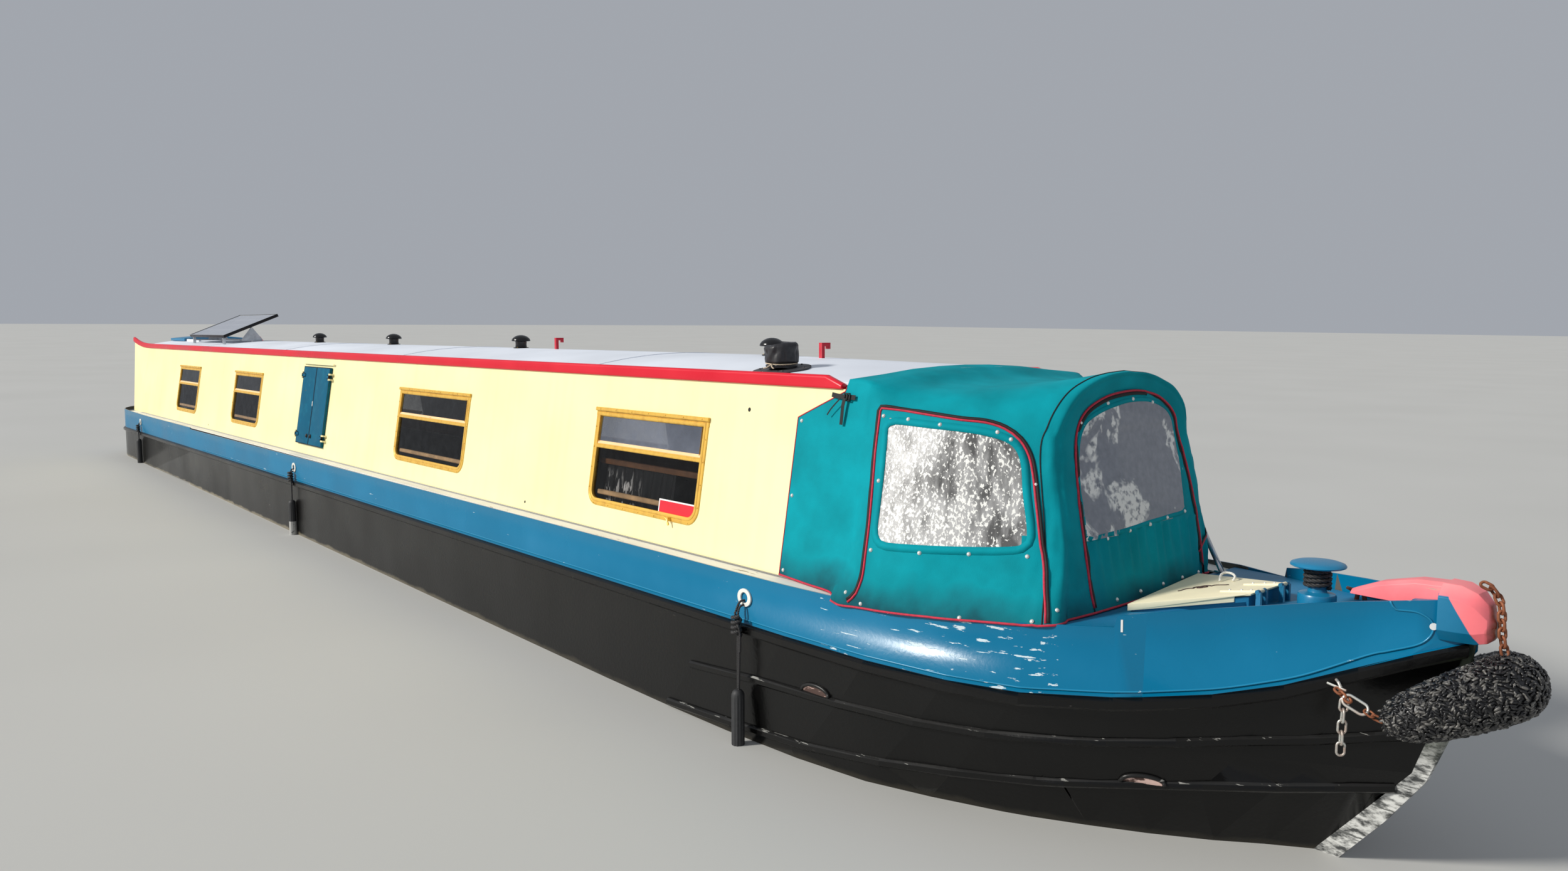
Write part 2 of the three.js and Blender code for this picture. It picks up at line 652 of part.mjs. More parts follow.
// A stretch of a side's plate between two places along the boat, with the windows that lie in it cut out.
function sidePlate(aftX, foreX, low = 0, high = SIDE_TOP) {
  const inside = WINDOWS.filter((window) => window.aftX > aftX && window.foreX < foreX && low === 0);
  const holes = inside.map((window) => windowOutline(window, WINDOW.flange - 2));
  const outline = [[foreX, low], [foreX, high], [aftX, high], [aftX, low]];
  return ontoSide(standing(outline, -SIDE_THICKNESS, 0, holes));
}

function sternSweep() {
  const straightX = SWEEP.at(-1).x;
  const sweepTop = SWEEP.map(({ x, up }) => [x, SIDE_TOP + up]);
  const outline = [[straightX, 0], ...sweepTop.reverse(), [CABIN_REAR_X - 10, 0]];
  return leanOut(ontoSide(standing(outline, -SIDE_THICKNESS, 0)));
}

// Hinge lugs of one hatch leaf, on the plate beside its outer edge.
function hatchLugs(edge, inward) {
  const pairs = hatchPins(edge, inward).map((at) => {
    const [near, far] = [at[0] - inward * 5.5, at[0] - inward * 36];
    return lugs("y", at, (low, high) =>
      box(Math.min(near, far), Math.max(near, far), low + 1, high - 1, -4, at[2] + 3));
  });
  return pairs.map(ontoSide);
}

// The port side is one plate. The starboard side is four, which meet round the hatch: the long plates aft
// and forward of it, the sill under it, and the head over it with its drip strip.
function starboardSide() {
  const { aftX, foreX, bottom, top, lap } = SIDE_HATCH;
  const [holeAft, holeFore] = [aftX + lap, foreX - lap];
  const aft = join(sidePlate(SWEEP.at(-1).x, holeAft), sternSweep(), ...hatchLugs(aftX, 1));
  const fore = join(sidePlate(holeFore, CABIN_FRONT_X), ...hatchLugs(foreX, -1));
  const sill = sidePlate(holeAft + GAP, holeFore - GAP, 0, bottom + lap);
  const strip = join(
    box(aftX - 60, foreX + 60, top + 22, top + 34, GAP, 22),
    box(holeAft + 1, holeFore - 1, top + 23, top + 33, -4, 20),
  );
  const head = join(sidePlate(holeAft + GAP, holeFore - GAP, top - lap), ontoSide(strip));
  return [aft, fore, sill, head];
}
const STARBOARD_PLATES = ["cabin_side_starboard_aft", "cabin_side_starboard_fore", "side_hatch_sill", "side_hatch_head"];
starboardSide().forEach((plate, i) => add(STARBOARD_PLATES[i], plate, 0xf3e7b4, 0.4, 0));
const portSide = join(sidePlate(SWEEP.at(-1).x, CABIN_FRONT_X), sternSweep());
add("cabin_side_port", mirrored(portSide), 0xf3e7b4, 0.4, 0);

// Window units: a brass frame with its flange outside, a transom, and the glass.
function windowUnit(window) {
  const height = WINDOW.top - WINDOW.bottom;
  const barV = WINDOW.bottom + height * WINDOW.transom;
  const { border, barHeight, flange } = WINDOW;
  const [x0, x1] = [window.aftX + border, window.foreX - border];
  const low = windowOutline(window, border).map(([x, v]) => [x, Math.min(v, barV - barHeight / 2)]);
  const high = [
    [x0, barV + barHeight / 2],
    [x1, barV + barHeight / 2],
    [x1, WINDOW.top - border],
    [x0, WINDOW.top - border],
  ];
  const face = standing(windowOutline(window, 0), GAP, 9, [low, high]);
  const throat = standing(windowOutline(window, flange), -SIDE_THICKNESS, GAP + 1, [low, high]);
  const glass = standing(windowOutline(window, flange + 6), -9, -5);
  const lip = box(window.aftX - 4, window.foreX + 4, WINDOW.top - 16, WINDOW.top + 6, GAP, 16);
  return ontoSide(join(face, throat, glass, lip));
}
for (const window of WINDOWS) {
  add(`${window.name}_starboard`, windowUnit(window), 0xb9924a, 0.35, 0.8);
  add(`${window.name}_port`, mirrored(windowUnit(window)), 0xb9924a, 0.35, 0.8);
}

// Side hatch: two leaves that hinge at their outer edges. Inward is the way from the hinge to the leaf.
function hatchLeaf(x0, x1, edge, inward) {
  const { bottom, top, leaf } = SIDE_HATCH;
  const face = RUNNING_CLEARANCE + leaf;
  const board = box(x0, x1, bottom, top, RUNNING_CLEARANCE, face);
  const straps = hatchPins(edge, inward).map((at) => {
    const [near, far] = [at[0] + inward * 6, at[0] + inward * 78];
    const strap = box(Math.min(near, far), Math.max(near, far), at[1] - 13, at[1] + 13, face - 2, face + 6);
    return knuckle("y", at, strap);
  });
  return ontoSide(join(board, ...straps));
}
function hatchLeaves() {
  const { aftX, foreX, middle } = SIDE_HATCH;
  const centre = (aftX + foreX) / 2;
  add("side_hatch_leaf_aft", hatchLeaf(aftX, centre - middle / 2, aftX, 1), 0x1f6f9c, 0.5, 0.1);
  add("side_hatch_leaf_fore", hatchLeaf(centre + middle / 2, foreX, foreX, -1), 0x1f6f9c, 0.5, 0.1);
}
hatchLeaves();

// Handrails on top of the cabin's sides, cut down at the bow end and swept up at the stern.
function handrail() {
  const stations = [...SWEEP, { x: 6440, up: 0, out: 0 }, { x: 6550, up: -38, out: 0 }];
  const outer = CABIN_TOP_Y + 14;
  const rings = stations.map(({ x, up, out }, i) => {
    const cutDown = i === stations.length - 1 ? 38 : 0;
    const low = RAIL_Z + (cutDown ? 0 : up);
    const high = RAIL_Z + 62 + (cutDown ? -cutDown : up);
    return [
      [x, -outer - out, low],
      [x, -outer - out, high - 10],
      [x, -outer - out + 10, high],
      [x, -outer - out + 30, high],
      [x, -outer - out + 40, high - 10],
      [x, -outer - out + 40, low],
    ];
  });
  return loft(rings);
}
add("handrail_starboard", handrail(), 0xc8202c, 0.35, 0.05);
add("handrail_port", mirrored(handrail()), 0xc8202c, 0.35, 0.05);

// Roof, cambered between the handrails, with the opening and runners of the sliding hatch and two pole racks.
const ROOF_THICKNESS = 20;
const ROOF_HALF = CABIN_TOP_Y + 14 - 40 - GAP;
const SLIDING_HATCH = { aftX: -8125, foreX: -7330, half: 420, openHalf: 330, travel: 600, topZ: 2278 };
const ROOF_BOW_X = CABIN_FRONT_X + 50;
function camberAt(x) {
  const { main, bow, fallsFromX } = ROOF_CAMBER;
  return main - (main - bow) * Math.max(0, (x - fallsFromX) / (ROOF_BOW_X - fallsFromX));
}
function roofZ(y, x = 0) {
  const share = Math.abs(y) / ROOF_HALF;
  return ROOF_EDGE_Z + camberAt(x) * (1 - share * share);
}
function roofRing(x) {
  const steps = 10;
  const ys = Array.from({ length: steps + 1 }, (_, i) => ROOF_HALF * ((2 * i) / steps - 1));
  return [
    ...ys.map((y) => [x, y, roofZ(y, x) - ROOF_THICKNESS]),
    ...ys.reverse().map((y) => [x, y, roofZ(y, x)]),
  ];
}
const POLE_RACKS = { xs: [2480, 5530], y: -12, height: 88, reach: 66 };
function roof() {
  const plate = loft([CABIN_REAR_X, ROOF_CAMBER.fallsFromX, ROOF_BOW_X].map(roofRing));
  const { aftX, foreX, openHalf, half, travel, topZ } = SLIDING_HATCH;
  const opening = box(aftX - 100, foreX - 90, -openHalf, openHalf, 2000, 2400);
  const [runnerFoot, runnerTop] = [roofZ(half - 45) - 12, topZ - 49.5];
  const runner = box(CABIN_REAR_X + 2, foreX + travel + 60, half - 60, half - 30, runnerFoot, runnerTop);
  const { xs, y, height, reach } = POLE_RACKS;
  const racks = xs.flatMap((x) => [
    box(x - 13, x + 13, y, y + 22, roofZ(0, x) - 10, roofZ(0, x) + height),
    box(x - 13, x + 13, y, y + reach, roofZ(0, x) + height - 20, roofZ(0, x) + height),
    box(x - 13, x + 13, y + reach - 16, y + reach, roofZ(0, x) + height - 36, roofZ(0, x) + height - 8),
  ]);
  return cut(join(plate, runner, mirrored(toGeometry(toSolid(runner))), ...racks), opening);
}
add("roof", roof(), 0xd9dcdc, 0.6, 0);

function slidingHatch() {
  const { aftX, foreX, half, topZ } = SLIDING_HATCH;
  const sillZ = roofZ(half) + RUNNING_CLEARANCE + 2;
  const top = [
    [-half, topZ - 52],
    [0, topZ - 12],
    [half, topZ - 52],
    [half, topZ - 40],
    [0, topZ],
    [-half, topZ - 40],
  ];
  const lid = alongX(top, aftX, foreX);
  const side = box(aftX, foreX, half - 14, half, sillZ, topZ - 42);
  const frontHalf = 350;
  const frontZ = roofZ(0) + RUNNING_CLEARANCE + 3;
  const frontOutline = [
    [-frontHalf, frontZ],
    [frontHalf, frontZ],
    [frontHalf, topZ - 44],
    [0, topZ - 10],
    [-frontHalf, topZ - 44],
  ];
  const front = alongX(frontOutline, foreX - 12, foreX);
  return join(lid, side, mirrored(toGeometry(toSolid(side))), front);
}
add("sliding_hatch", slidingHatch(), 0x1f6f9c, 0.5, 0.1);

// End bulkheads of the cabin, each with a doorway and two leaves that hinge at their outer edges.
const DOORWAY = { half: 300, top: 1985, middle: 12 };

// Middles of a starboard door's two knuckles, proud of the bulkhead's outer face.
function doorPins(face, sillZ, outward) {
  return [sillZ + 130, DOORWAY.top - 130].map((z) => [face + outward * 11, -DOORWAY.half + 2.5, z]);
}

function bulkhead(x0, x1, footZ, sillZ, outward, hullHalf) {
  const wall = (z) => CABIN_FOOT_Y - SIDE_THICKNESS - 2 - TUMBLEHOME * (z - GUNWALE_Z);
  const under = ROOF_THICKNESS + 3;
  const low = [footZ, WET_Z + 300, 960, GUNWALE_Z - PLATE - GAP].map((z) => [hullHalf(z) - 24, z]);
  const crown = Array.from({ length: 9 }, (_, i) => {
    const y = ROOF_HALF - 40 - ((ROOF_HALF - 40) * 2 * i) / 8;
    return [y, roofZ(y, x0) - under];
  });
  const shoulder = Math.min(wall(crown[0][1]), ROOF_HALF - 6);
  const outline = [
    ...low,
    [DECK_INNER - GAP, GUNWALE_Z - PLATE - GAP],
    [wall(GUNWALE_Z) - 4, GUNWALE_Z],
    [shoulder, crown[0][1] - 20],
    ...crown,
    [-shoulder, crown[0][1] - 20],
    [-wall(GUNWALE_Z) + 4, GUNWALE_Z],
    [-DECK_INNER + GAP, GUNWALE_Z - PLATE - GAP],
    ...low.map(([y, z]) => [-y, z]).reverse(),
  ];
  const { half, top } = DOORWAY;
  const plate = alongX(outline, x0, x1, [[[-half, sillZ], [half, sillZ], [half, top], [-half, top]]]);
  const face = outward > 0 ? x1 : x0;
  const fixed = doorPins(face, sillZ, outward).flatMap((at) => {
    const [inner, outer] = [face - outward * 3, at[0] + outward * 3];
    const pair = lugs("z", at, (low, high) =>
      box(Math.min(inner, outer), Math.max(inner, outer), at[1] - 40, at[1] - 5.5, low + 1, high - 1));
    return [pair, mirrored(pair)];
  });
  return join(plate, ...fixed);
}
const FRONT_SILL_Z = 760;
const REAR_SILL_Z = 1215;
const foreSkin = (z) => skinHalf(CABIN_FRONT_X, z);
const frontWall = bulkhead(CABIN_FRONT_X - 32, CABIN_FRONT_X - 2, 560, FRONT_SILL_Z, 1, foreSkin);
const rearWall = bulkhead(CABIN_REAR_X + 2, CABIN_REAR_X + 32, 620, REAR_SILL_Z, -1, () => HALF_BEAM);
add("front_bulkhead", frontWall, 0xf3e7b4, 0.5, 0);
add("rear_bulkhead", rearWall, 0xf3e7b4, 0.5, 0);

// A starboard door leaf inside its doorway, with a raised panel on its outer face.
function doorLeaf(x0, x1, sillZ, outward) {
  const { half, top, middle } = DOORWAY;
  const [low, high] = [sillZ + RUNNING_CLEARANCE, top - RUNNING_CLEARANCE];
  const board = box(x0, x1, -half + RUNNING_CLEARANCE, -middle / 2, low, high);
  const face = outward > 0 ? x1 : x0;
  const panel = box(face - 3, face + 3, -half + 50, -50, sillZ + 60, top - 60);
  const straps = doorPins(face + outward * 3, sillZ, outward).map((at) => {
    const [inner, outer] = [face - outward * 2, at[0] + outward * 2];
    const [near, far] = [Math.min(inner, outer), Math.max(inner, outer)];
    return knuckle("z", at, box(near, far, at[1] + 6, at[1] + 62, at[2] - 13, at[2] + 13));
  });
  return join(board, panel, ...straps);
}
const FRONT_DOOR = [CABIN_FRONT_X - 29, CABIN_FRONT_X - 5, FRONT_SILL_Z, 1];
const REAR_DOOR = [CABIN_REAR_X + 5, CABIN_REAR_X + 29, REAR_SILL_Z, -1];
add("front_door_starboard", doorLeaf(...FRONT_DOOR), 0x1f6f9c, 0.5, 0.05);
add("front_door_port", mirrored(doorLeaf(...FRONT_DOOR)), 0x1f6f9c, 0.5, 0.05);
add("rear_door_starboard", doorLeaf(...REAR_DOOR), 0x1f6f9c, 0.5, 0.05);
add("rear_door_port", mirrored(doorLeaf(...REAR_DOOR)), 0x1f6f9c, 0.5, 0.05);

// Mushroom vents along the roof's centre line.
const VENTS_X = [-2954, -779, 1895, 5085];
function mushroomVent(x) {
  const foot = roofZ(0, x - 62) + GAP;
  const flange = [[0, 0], [62, 0], [62, 8], [46, 12], [46, 55]];
  const cap = [[75, 58], [75, 68], [62, 88], [36, 101], [0, 106]];
  return turned([...flange, ...cap].map(([radius, up]) => [radius, foot + up]), x, 0);
}
VENTS_X.forEach((x, i) => add(`mushroom_vent_${i + 1}`, mushroomVent(x), 0x15171a, 0.25, 0.4));

// Flue collar in its tied bag, on a flat disc that is bedded on the roof's slope.
const FLUE = { x: 5844, y: -567, disc: 155, collar: 76 };
function flue() {
  const slope = Math.atan((2 * camberAt(FLUE.x) * FLUE.y) / (ROOF_HALF * ROOF_HALF));
  const foot = 3 * GAP;
  const { disc, collar } = FLUE;
  const profile = [
    [0, foot],
    [disc, foot],
    [disc, foot + 9],
    [collar - 6, foot + 14],
    [collar - 4, foot + 96],
    [collar - 20, foot + 112],
    [0, foot + 112],
  ];
  return turned(profile, 0, 0, 20).rotateX(-slope).translate(FLUE.x, FLUE.y, roofZ(FLUE.y, FLUE.x));
}
add("flue_collar", flue(), 0x1b1c1e, 0.6, 0.2);

// Solar panel on a fixed mount: a base rail and two triangles at the ends, and two stop legs at its low edge.
const SOLAR = {
  aftX: -6450,
  foreX: -4800,
  width: 700,
  thickness: 35,
  lift: 32,
  y: -208,
  pivotZ: 2382,
  tilt: 22.6,
};
function solarMount() {
  const { aftX, foreX, y, pivotZ, width, tilt, lift, thickness } = SOLAR;
  const halfBase = 122;
  const footZ = roofZ(y + halfBase) - GAP;
  const triangle = [
    [y - halfBase, footZ],
    [y + halfBase, footZ],
    [y + halfBase, footZ + 24],
    [y + 8, pivotZ + 9],
    [y - 8, pivotZ + 9],
    [y - halfBase, footZ + 24],
  ];
  const ends = [aftX + 40, foreX - 45].map((x) => alongX(triangle, x, x + 5));
  const pins = [aftX + 42, foreX - 86].map((x) =>
    new THREE.CylinderGeometry(7, 7, 44, 12).rotateZ(Math.PI / 2).translate(x + 22, y, pivotZ));
  const rail = box(aftX + 42, foreX - 42, y - 20, y + 20, footZ + 1, footZ + 26);
  const turn = THREE.MathUtils.degToRad(tilt);
  const reach = width / 2 - 30;
  const edgeY = y - reach * Math.cos(turn) - lift * Math.sin(turn);
  const edgeZ = pivotZ - reach * Math.sin(turn) + (lift - thickness / 2) * Math.cos(turn);
  const legs = [aftX + 90, foreX - 120].flatMap((x) => [
    box(x, x + 30, edgeY - 15, edgeY + 15, roofZ(edgeY + 15) + 1, edgeZ - RUNNING_CLEARANCE - 8),
    box(x, x + 30, edgeY - 15, y, footZ + 2, footZ + 20),
  ]);
  return join(rail, ...ends, ...pins, ...legs);
}
function solarPanel() {
  const { aftX, foreX, width, thickness, y, pivotZ, tilt, lift } = SOLAR;
  const slab = box(aftX, foreX, -width / 2, width / 2, lift - thickness / 2, lift + thickness / 2);
  const lugs = [aftX + 52, foreX - 76].map((x) => cut(
    box(x, x + 24, -16, 16, -14, lift - thickness / 2 + 1),
    new THREE.CylinderGeometry(7.6, 7.6, 80, 12).rotateZ(Math.PI / 2).translate(x + 12, 0, 0),
  ));
  return join(slab, ...lugs).rotateX(THREE.MathUtils.degToRad(tilt)).translate(0, y, pivotZ);
}
add("solar_mount", solarMount(), 0x8f9499, 0.4, 0.8);
add("solar_panel", solarPanel(), 0x2a3550, 0.2, 0.3);

// Cratch: a bent hoop and ridge bar over the fore well, under its fabric cover.
const HOOP = [
  { x: 7650, y: 690, z: 1242, frontX: 7722, frontY: 505, frontZ: 1240 },
  { x: 7566, y: 612, z: 1490, frontX: 7640, frontY: 465, frontZ: 1490 },
  { x: 7480, y: 566, z: 1860, frontX: 7536, frontY: 405, frontZ: 1860 },
  { x: 7484, y: 525, z: 1980, frontX: 7520, frontY: 375, frontZ: 1975 },
  { x: 7488, y: 470, z: 2055, frontX: 7514, frontY: 320, frontZ: 2036 },
  { x: 7492, y: 390, z: 2116, frontX: 7512, frontY: 240, frontZ: 2076 },
  { x: 7494, y: 270, z: 2160, frontX: 7510, frontY: 160, frontZ: 2098 },
  { x: 7496, y: 140, z: 2186, frontX: 7510, frontY: 80, frontZ: 2108 },
  { x: 7496, y: 0, z: 2196, frontX: 7510, frontY: 0, frontZ: 2110 },
];
const TUBE_RADIUS = 13;
function cratchFrame() {
  const under = TUBE_RADIUS + 12;
  const last = HOOP.length - 1;
  const half = HOOP.map(({ x, y, z }, i) => {
    const down = i > 3 ? under : i ? 0 : 12;
    return [x - 20, i === last ? 0 : y - (i < 5 ? under : 10), z - down];
  });
  const path = [...half.map(([x, y, z]) => [x, -y, z]), ...half.slice(0, -1).reverse()];
  const hoop = bar(path, TUBE_RADIUS, 8, 32);
  const [footX, footY] = half[0];
  const footZ = deckZ(footX + 18);
  const foot = box(footX - 26, footX + 18, footY - 25, footY + 19, footZ + GAP, footZ + 9);
  const ridgePath = [[ROOF_BOW_X + 14, 0, 2166], [6880, 0, 2120], [7180, 0, 2120], [7476, 0, 2160]];
  const ridge = bar(ridgePath, TUBE_RADIUS, 8, 8);
  return join(hoop, ridge, foot, mirrored(foot));
}
add("cratch_frame", cratchFrame(), 0xb8bcc0, 0.3, 0.9);

// The cover's sections from the cabin forward, each from hem to crown, down one side.
const COVER_CLEAR = 6;
const FABRIC = 4;
const HEM_Z = 1216;
function coverOnCabin(x, cornerX, crownX) {
  const side = (z) => CABIN_FOOT_Y - TUMBLEHOME * (z - GUNWALE_Z) + COVER_CLEAR;
  return [
    ...[HEM_Z, 1450, 1960].map((z) => [x, side(z), z]),
    [cornerX, side(2094), 2094],
    [crownX, CABIN_TOP_Y - 6, 2150],
    ...[570, 380, 190, 0].map((y) => [crownX, y, roofZ(y, crownX) + COVER_CLEAR]),
  ];
}
const COVER_MIDDLE = [
  {
    x: 6880,
    y: [1009, 968, 814, 758, 690, 570, 390, 200, 0],
    z: [HEM_Z, 1450, 1950, 2046, 2098, 2130, 2140, 2144, 2146],
  },
  {
    x: 7180,
    y: [972, 900, 724, 664, 592, 480, 340, 170, 0],
    z: [1220, 1450, 1930, 2030, 2086, 2122, 2138, 2146, 2148],
  },
];
function coverSections() {
  const hoop = HOOP.map(({ x, y, z }) => [x + 4, y, z]);
  const front = HOOP.map(({ frontX, frontY, frontZ }) => [frontX, frontY, frontZ]);
  return [
    coverOnCabin(6272, 6575, 6590),
    coverOnCabin(CABIN_FRONT_X + 56, CABIN_FRONT_X + 56, CABIN_FRONT_X + 56),
    ...COVER_MIDDLE.map(({ x, y, z }) => y.map((half, i) => [x, half, z[i]])),
    hoop,
    front,
  ];
}
function coverRing(rows, inset, aft) {
  const moved = rows.map(([x, y, z]) => {
    const [inward, down] = [z < 2100 ? inset : inset / 3, z > 2030 ? inset : 0];
    return [x - aft, Math.max(y - inward, 0), z - down];
  });
  if (inset) {
    const [foot, next] = moved;
    const drop = 60 / (next[2] - foot[2]);
    moved[0] = [0, 1, 2].map((k) => foot[k] + (foot[k] - next[k]) * drop);
  }
  const starboard = moved.map(([x, y, z]) => [x, -y, z]);
  return [...starboard, ...moved.slice(0, -1).reverse()];
}
function cratchCover() {
  const sections = coverSections();
  const outer = loft(sections.map((rows) => coverRing(rows, 0, 0)));
  const inner = loft(sections.map((rows, i) => {
    const last = i === sections.length - 1;
    return coverRing(rows, FABRIC, i === 0 ? 80 : last ? FABRIC + 2 : 0);
  }));
  return cut(outer, inner);
}
add("cratch_cover", cratchCover(), 0x0f8f93, 0.85, 0);

// Locker lid, hinged by two straps at its forward edge, with a lip down its other three sides.
function lockerLid() {
  const { aftX, foreX, aftHalf, foreHalf, coaming } = LOCKER;
  const lap = 19;
  const outline = [
    [aftX - lap, -aftHalf - lap],
    [foreX + lap, -foreHalf - lap],
    [foreX + lap, foreHalf + lap],
    [aftX - lap, aftHalf + lap],
  ];
  const inside = [
    [aftX - lap + 5, -aftHalf - lap + 5],
    [foreX + 60, -foreHalf - lap + 16],
    [foreX + 60, foreHalf + lap - 16],
    [aftX - lap + 5, aftHalf + lap - 5],
  ];
  const plate = sloped(standing(outline, coaming + 5, coaming + 12), 0);
  const lipOutline = sloped(standing(outline, coaming - 18, coaming + 6), 0);
  const hollow = sloped(standing(inside, coaming - 40, coaming + 20), 0);
  const lip = cut(lipOutline, hollow, box(foreX - 40, foreX + 60, -400, 400, 1200, 1400));
  const straps = LID_PINS.map((at) => knuckle("y", at,
    sloped(box(foreX - 130, LID_PIN_X - 6, at[1] - 13, at[1] + 13, coaming + 10, coaming + 18), 0)));
  return join(plate, lip, ...straps);
}
add("locker_lid", lockerLid(), 0xefe3b0, 0.45, 0.05);

// Mooring stud with its domed cap.
const STUD_X = 8380;
function mooringStud() {
  const [radius, post, cap] = [70, 38, 100];
  const z = deckZ(STUD_X + radius) + GAP;
  const foot = [[0, z], [radius, z], [radius, z + 8], [post, z + 10], [post, 1452]];
  const dome = [[cap, 1456], [cap, 1464], [70, 1484], [30, 1496], [0, 1498]];
  return turned([...foot, ...dome], STUD_X, 0, 20);
}
add("mooring_stud", mooringStud(), 0x1f6f9c, 0.4, 0.3);

// Rudder: blade, stock and swan neck in one, on the skeg's cup.
function rudder() {
  const blade = box(RUDDER_X - 200, RUDDER_X + 220, -6, 6, 75, 505);
  const stock = rod("z", [RUDDER_X, 0, 1025], STOCK_RADIUS, 1990, 24);
  const neckPath = [
    [RUDDER_X, 0, 1300],
    [RUDDER_X, 0, 1800],
    [RUDDER_X + 10, 0, 2010],
    [RUDDER_X + 110, 0, 2100],
    [RUDDER_X + 260, 0, 2120],
  ];
  const neck = bar(neckPath, 22, 8, 12);
  return join(blade, stock, neck);
}
add("rudder", rudder(), 0x23272a, 0.5, 0.4);

// Propeller with three blades and its shaft through the stern tube.
function propeller() {
  const hubX = STERNPOST_X - 110;
  const shaft = rod("x", [hubX + 360, 0, PROPELLER_Z], SHAFT_RADIUS, 760, 24);
  const hub = rod("x", [hubX, 0, PROPELLER_Z], 42, 90, 16);
  const blades = [0, 1, 2].map((i) => {
    const blade = loft([
      { r: 30, half: 40, twist: 0.9 },
      { r: 110, half: 78, twist: 0.6 },
      { r: 180, half: 70, twist: 0.45 },
      { r: 215, half: 34, twist: 0.4 },
    ].map(({ r, half, twist }) => [-1, 1].flatMap((face) => [-face, face].map((end) => [
      end * half * Math.sin(twist) + face * 3.5 * Math.cos(twist),
      end * half * Math.cos(twist) - face * 3.5 * Math.sin(twist),
      r,
    ]))));
    return blade.rotateX((2 * Math.PI * i) / 3).translate(hubX, 0, PROPELLER_Z);
  });
  return join(shaft, hub, ...blades);
}
add("propeller", propeller(), 0xa5803c, 0.35, 0.9);

// Bow fender: a rope sausage bent round the stem, with the chains that hold it.
const BOW_FENDER = [
  { x: 8756.5, y: 272, z: 1022, radius: 45 },
  { x: 8794.5, y: 260, z: 1036, radius: 88 },
  { x: 8864.5, y: 226, z: 1066, radius: 108 },
  { x: 8954.5, y: 155, z: 1112, radius: 118 },
  { x: 9027.5, y: 72, z: 1148, radius: 121 },
  { x: 9046.5, y: 0, z: 1156, radius: 121 },
];
function bowFender() {
  const placed = (rows, sign) => rows.map(({ x, y, z, radius }) => {
    return { at: new THREE.Vector3(x, sign * y, z), radius };
  });
  const all = [...placed(BOW_FENDER, -1), ...placed(BOW_FENDER.slice(0, -1).reverse(), 1)];
  const rings = all.map(({ at, radius }, i) => {
    const before = all[Math.max(0, i - 1)].at;
    const after = all[Math.min(all.length - 1, i + 1)].at;
    const along = after.clone().sub(before).normalize();
    const side = new THREE.Vector3(0, 0, 1).cross(along).normalize();
    const up = along.clone().cross(side);
    return Array.from({ length: 12 }, (_, k) => {
      const turn = (2 * Math.PI * k) / 12;
      const point = at.clone().addScaledVector(side, radius * Math.cos(turn));
      return point.addScaledVector(up, radius * Math.sin(turn)).toArray();
    });
  });
  const body = loft(rings);
  const topChain = bar([[8998, 0, 1456], [9022, 0, 1400], [9030, 0, 1320], [9034, 0, 1240]], 11, 6, 8);
  return join(body, topChain);
}
add("bow_fender", bowFender(), 0x1c1c1d, 0.9, 0);
const CHAIN_RADIUS = 10;
const CHAIN_ROUTE = [
  [8500.1, 255.6, 1035],
  [8510, 268, 1031.5],
  [8550, 286, 1020],
  [8650, 293, 1010],
  [8728.7, 280.8, 1011.8],
  [8755.7, 272.3, 1021.7],
];
for (const [side, sign] of [["starboard", -1], ["port", 1]]) {
  const route = CHAIN_ROUTE.map(([x, y, z]) => [x, sign * y, z]);
  add(`fender_chain_${side}`, bar(route, CHAIN_RADIUS, 6, 10), 0x6e4a33, 0.8, 0.5);
}

// Side fenders on ropes from eyes in the starboard side.
const SIDE_FENDERS = [
  { name: "fore", x: 6130, y: 1086, eyeZ: 1093, topZ: 650 },
  { name: "middle", x: -630, y: 1074, eyeZ: 1089, topZ: 785 },
  { name: "aft", x: -7200, y: 1074, eyeZ: 1100, topZ: 870 },
];
const FENDER = { radius: 32, length: 380 };
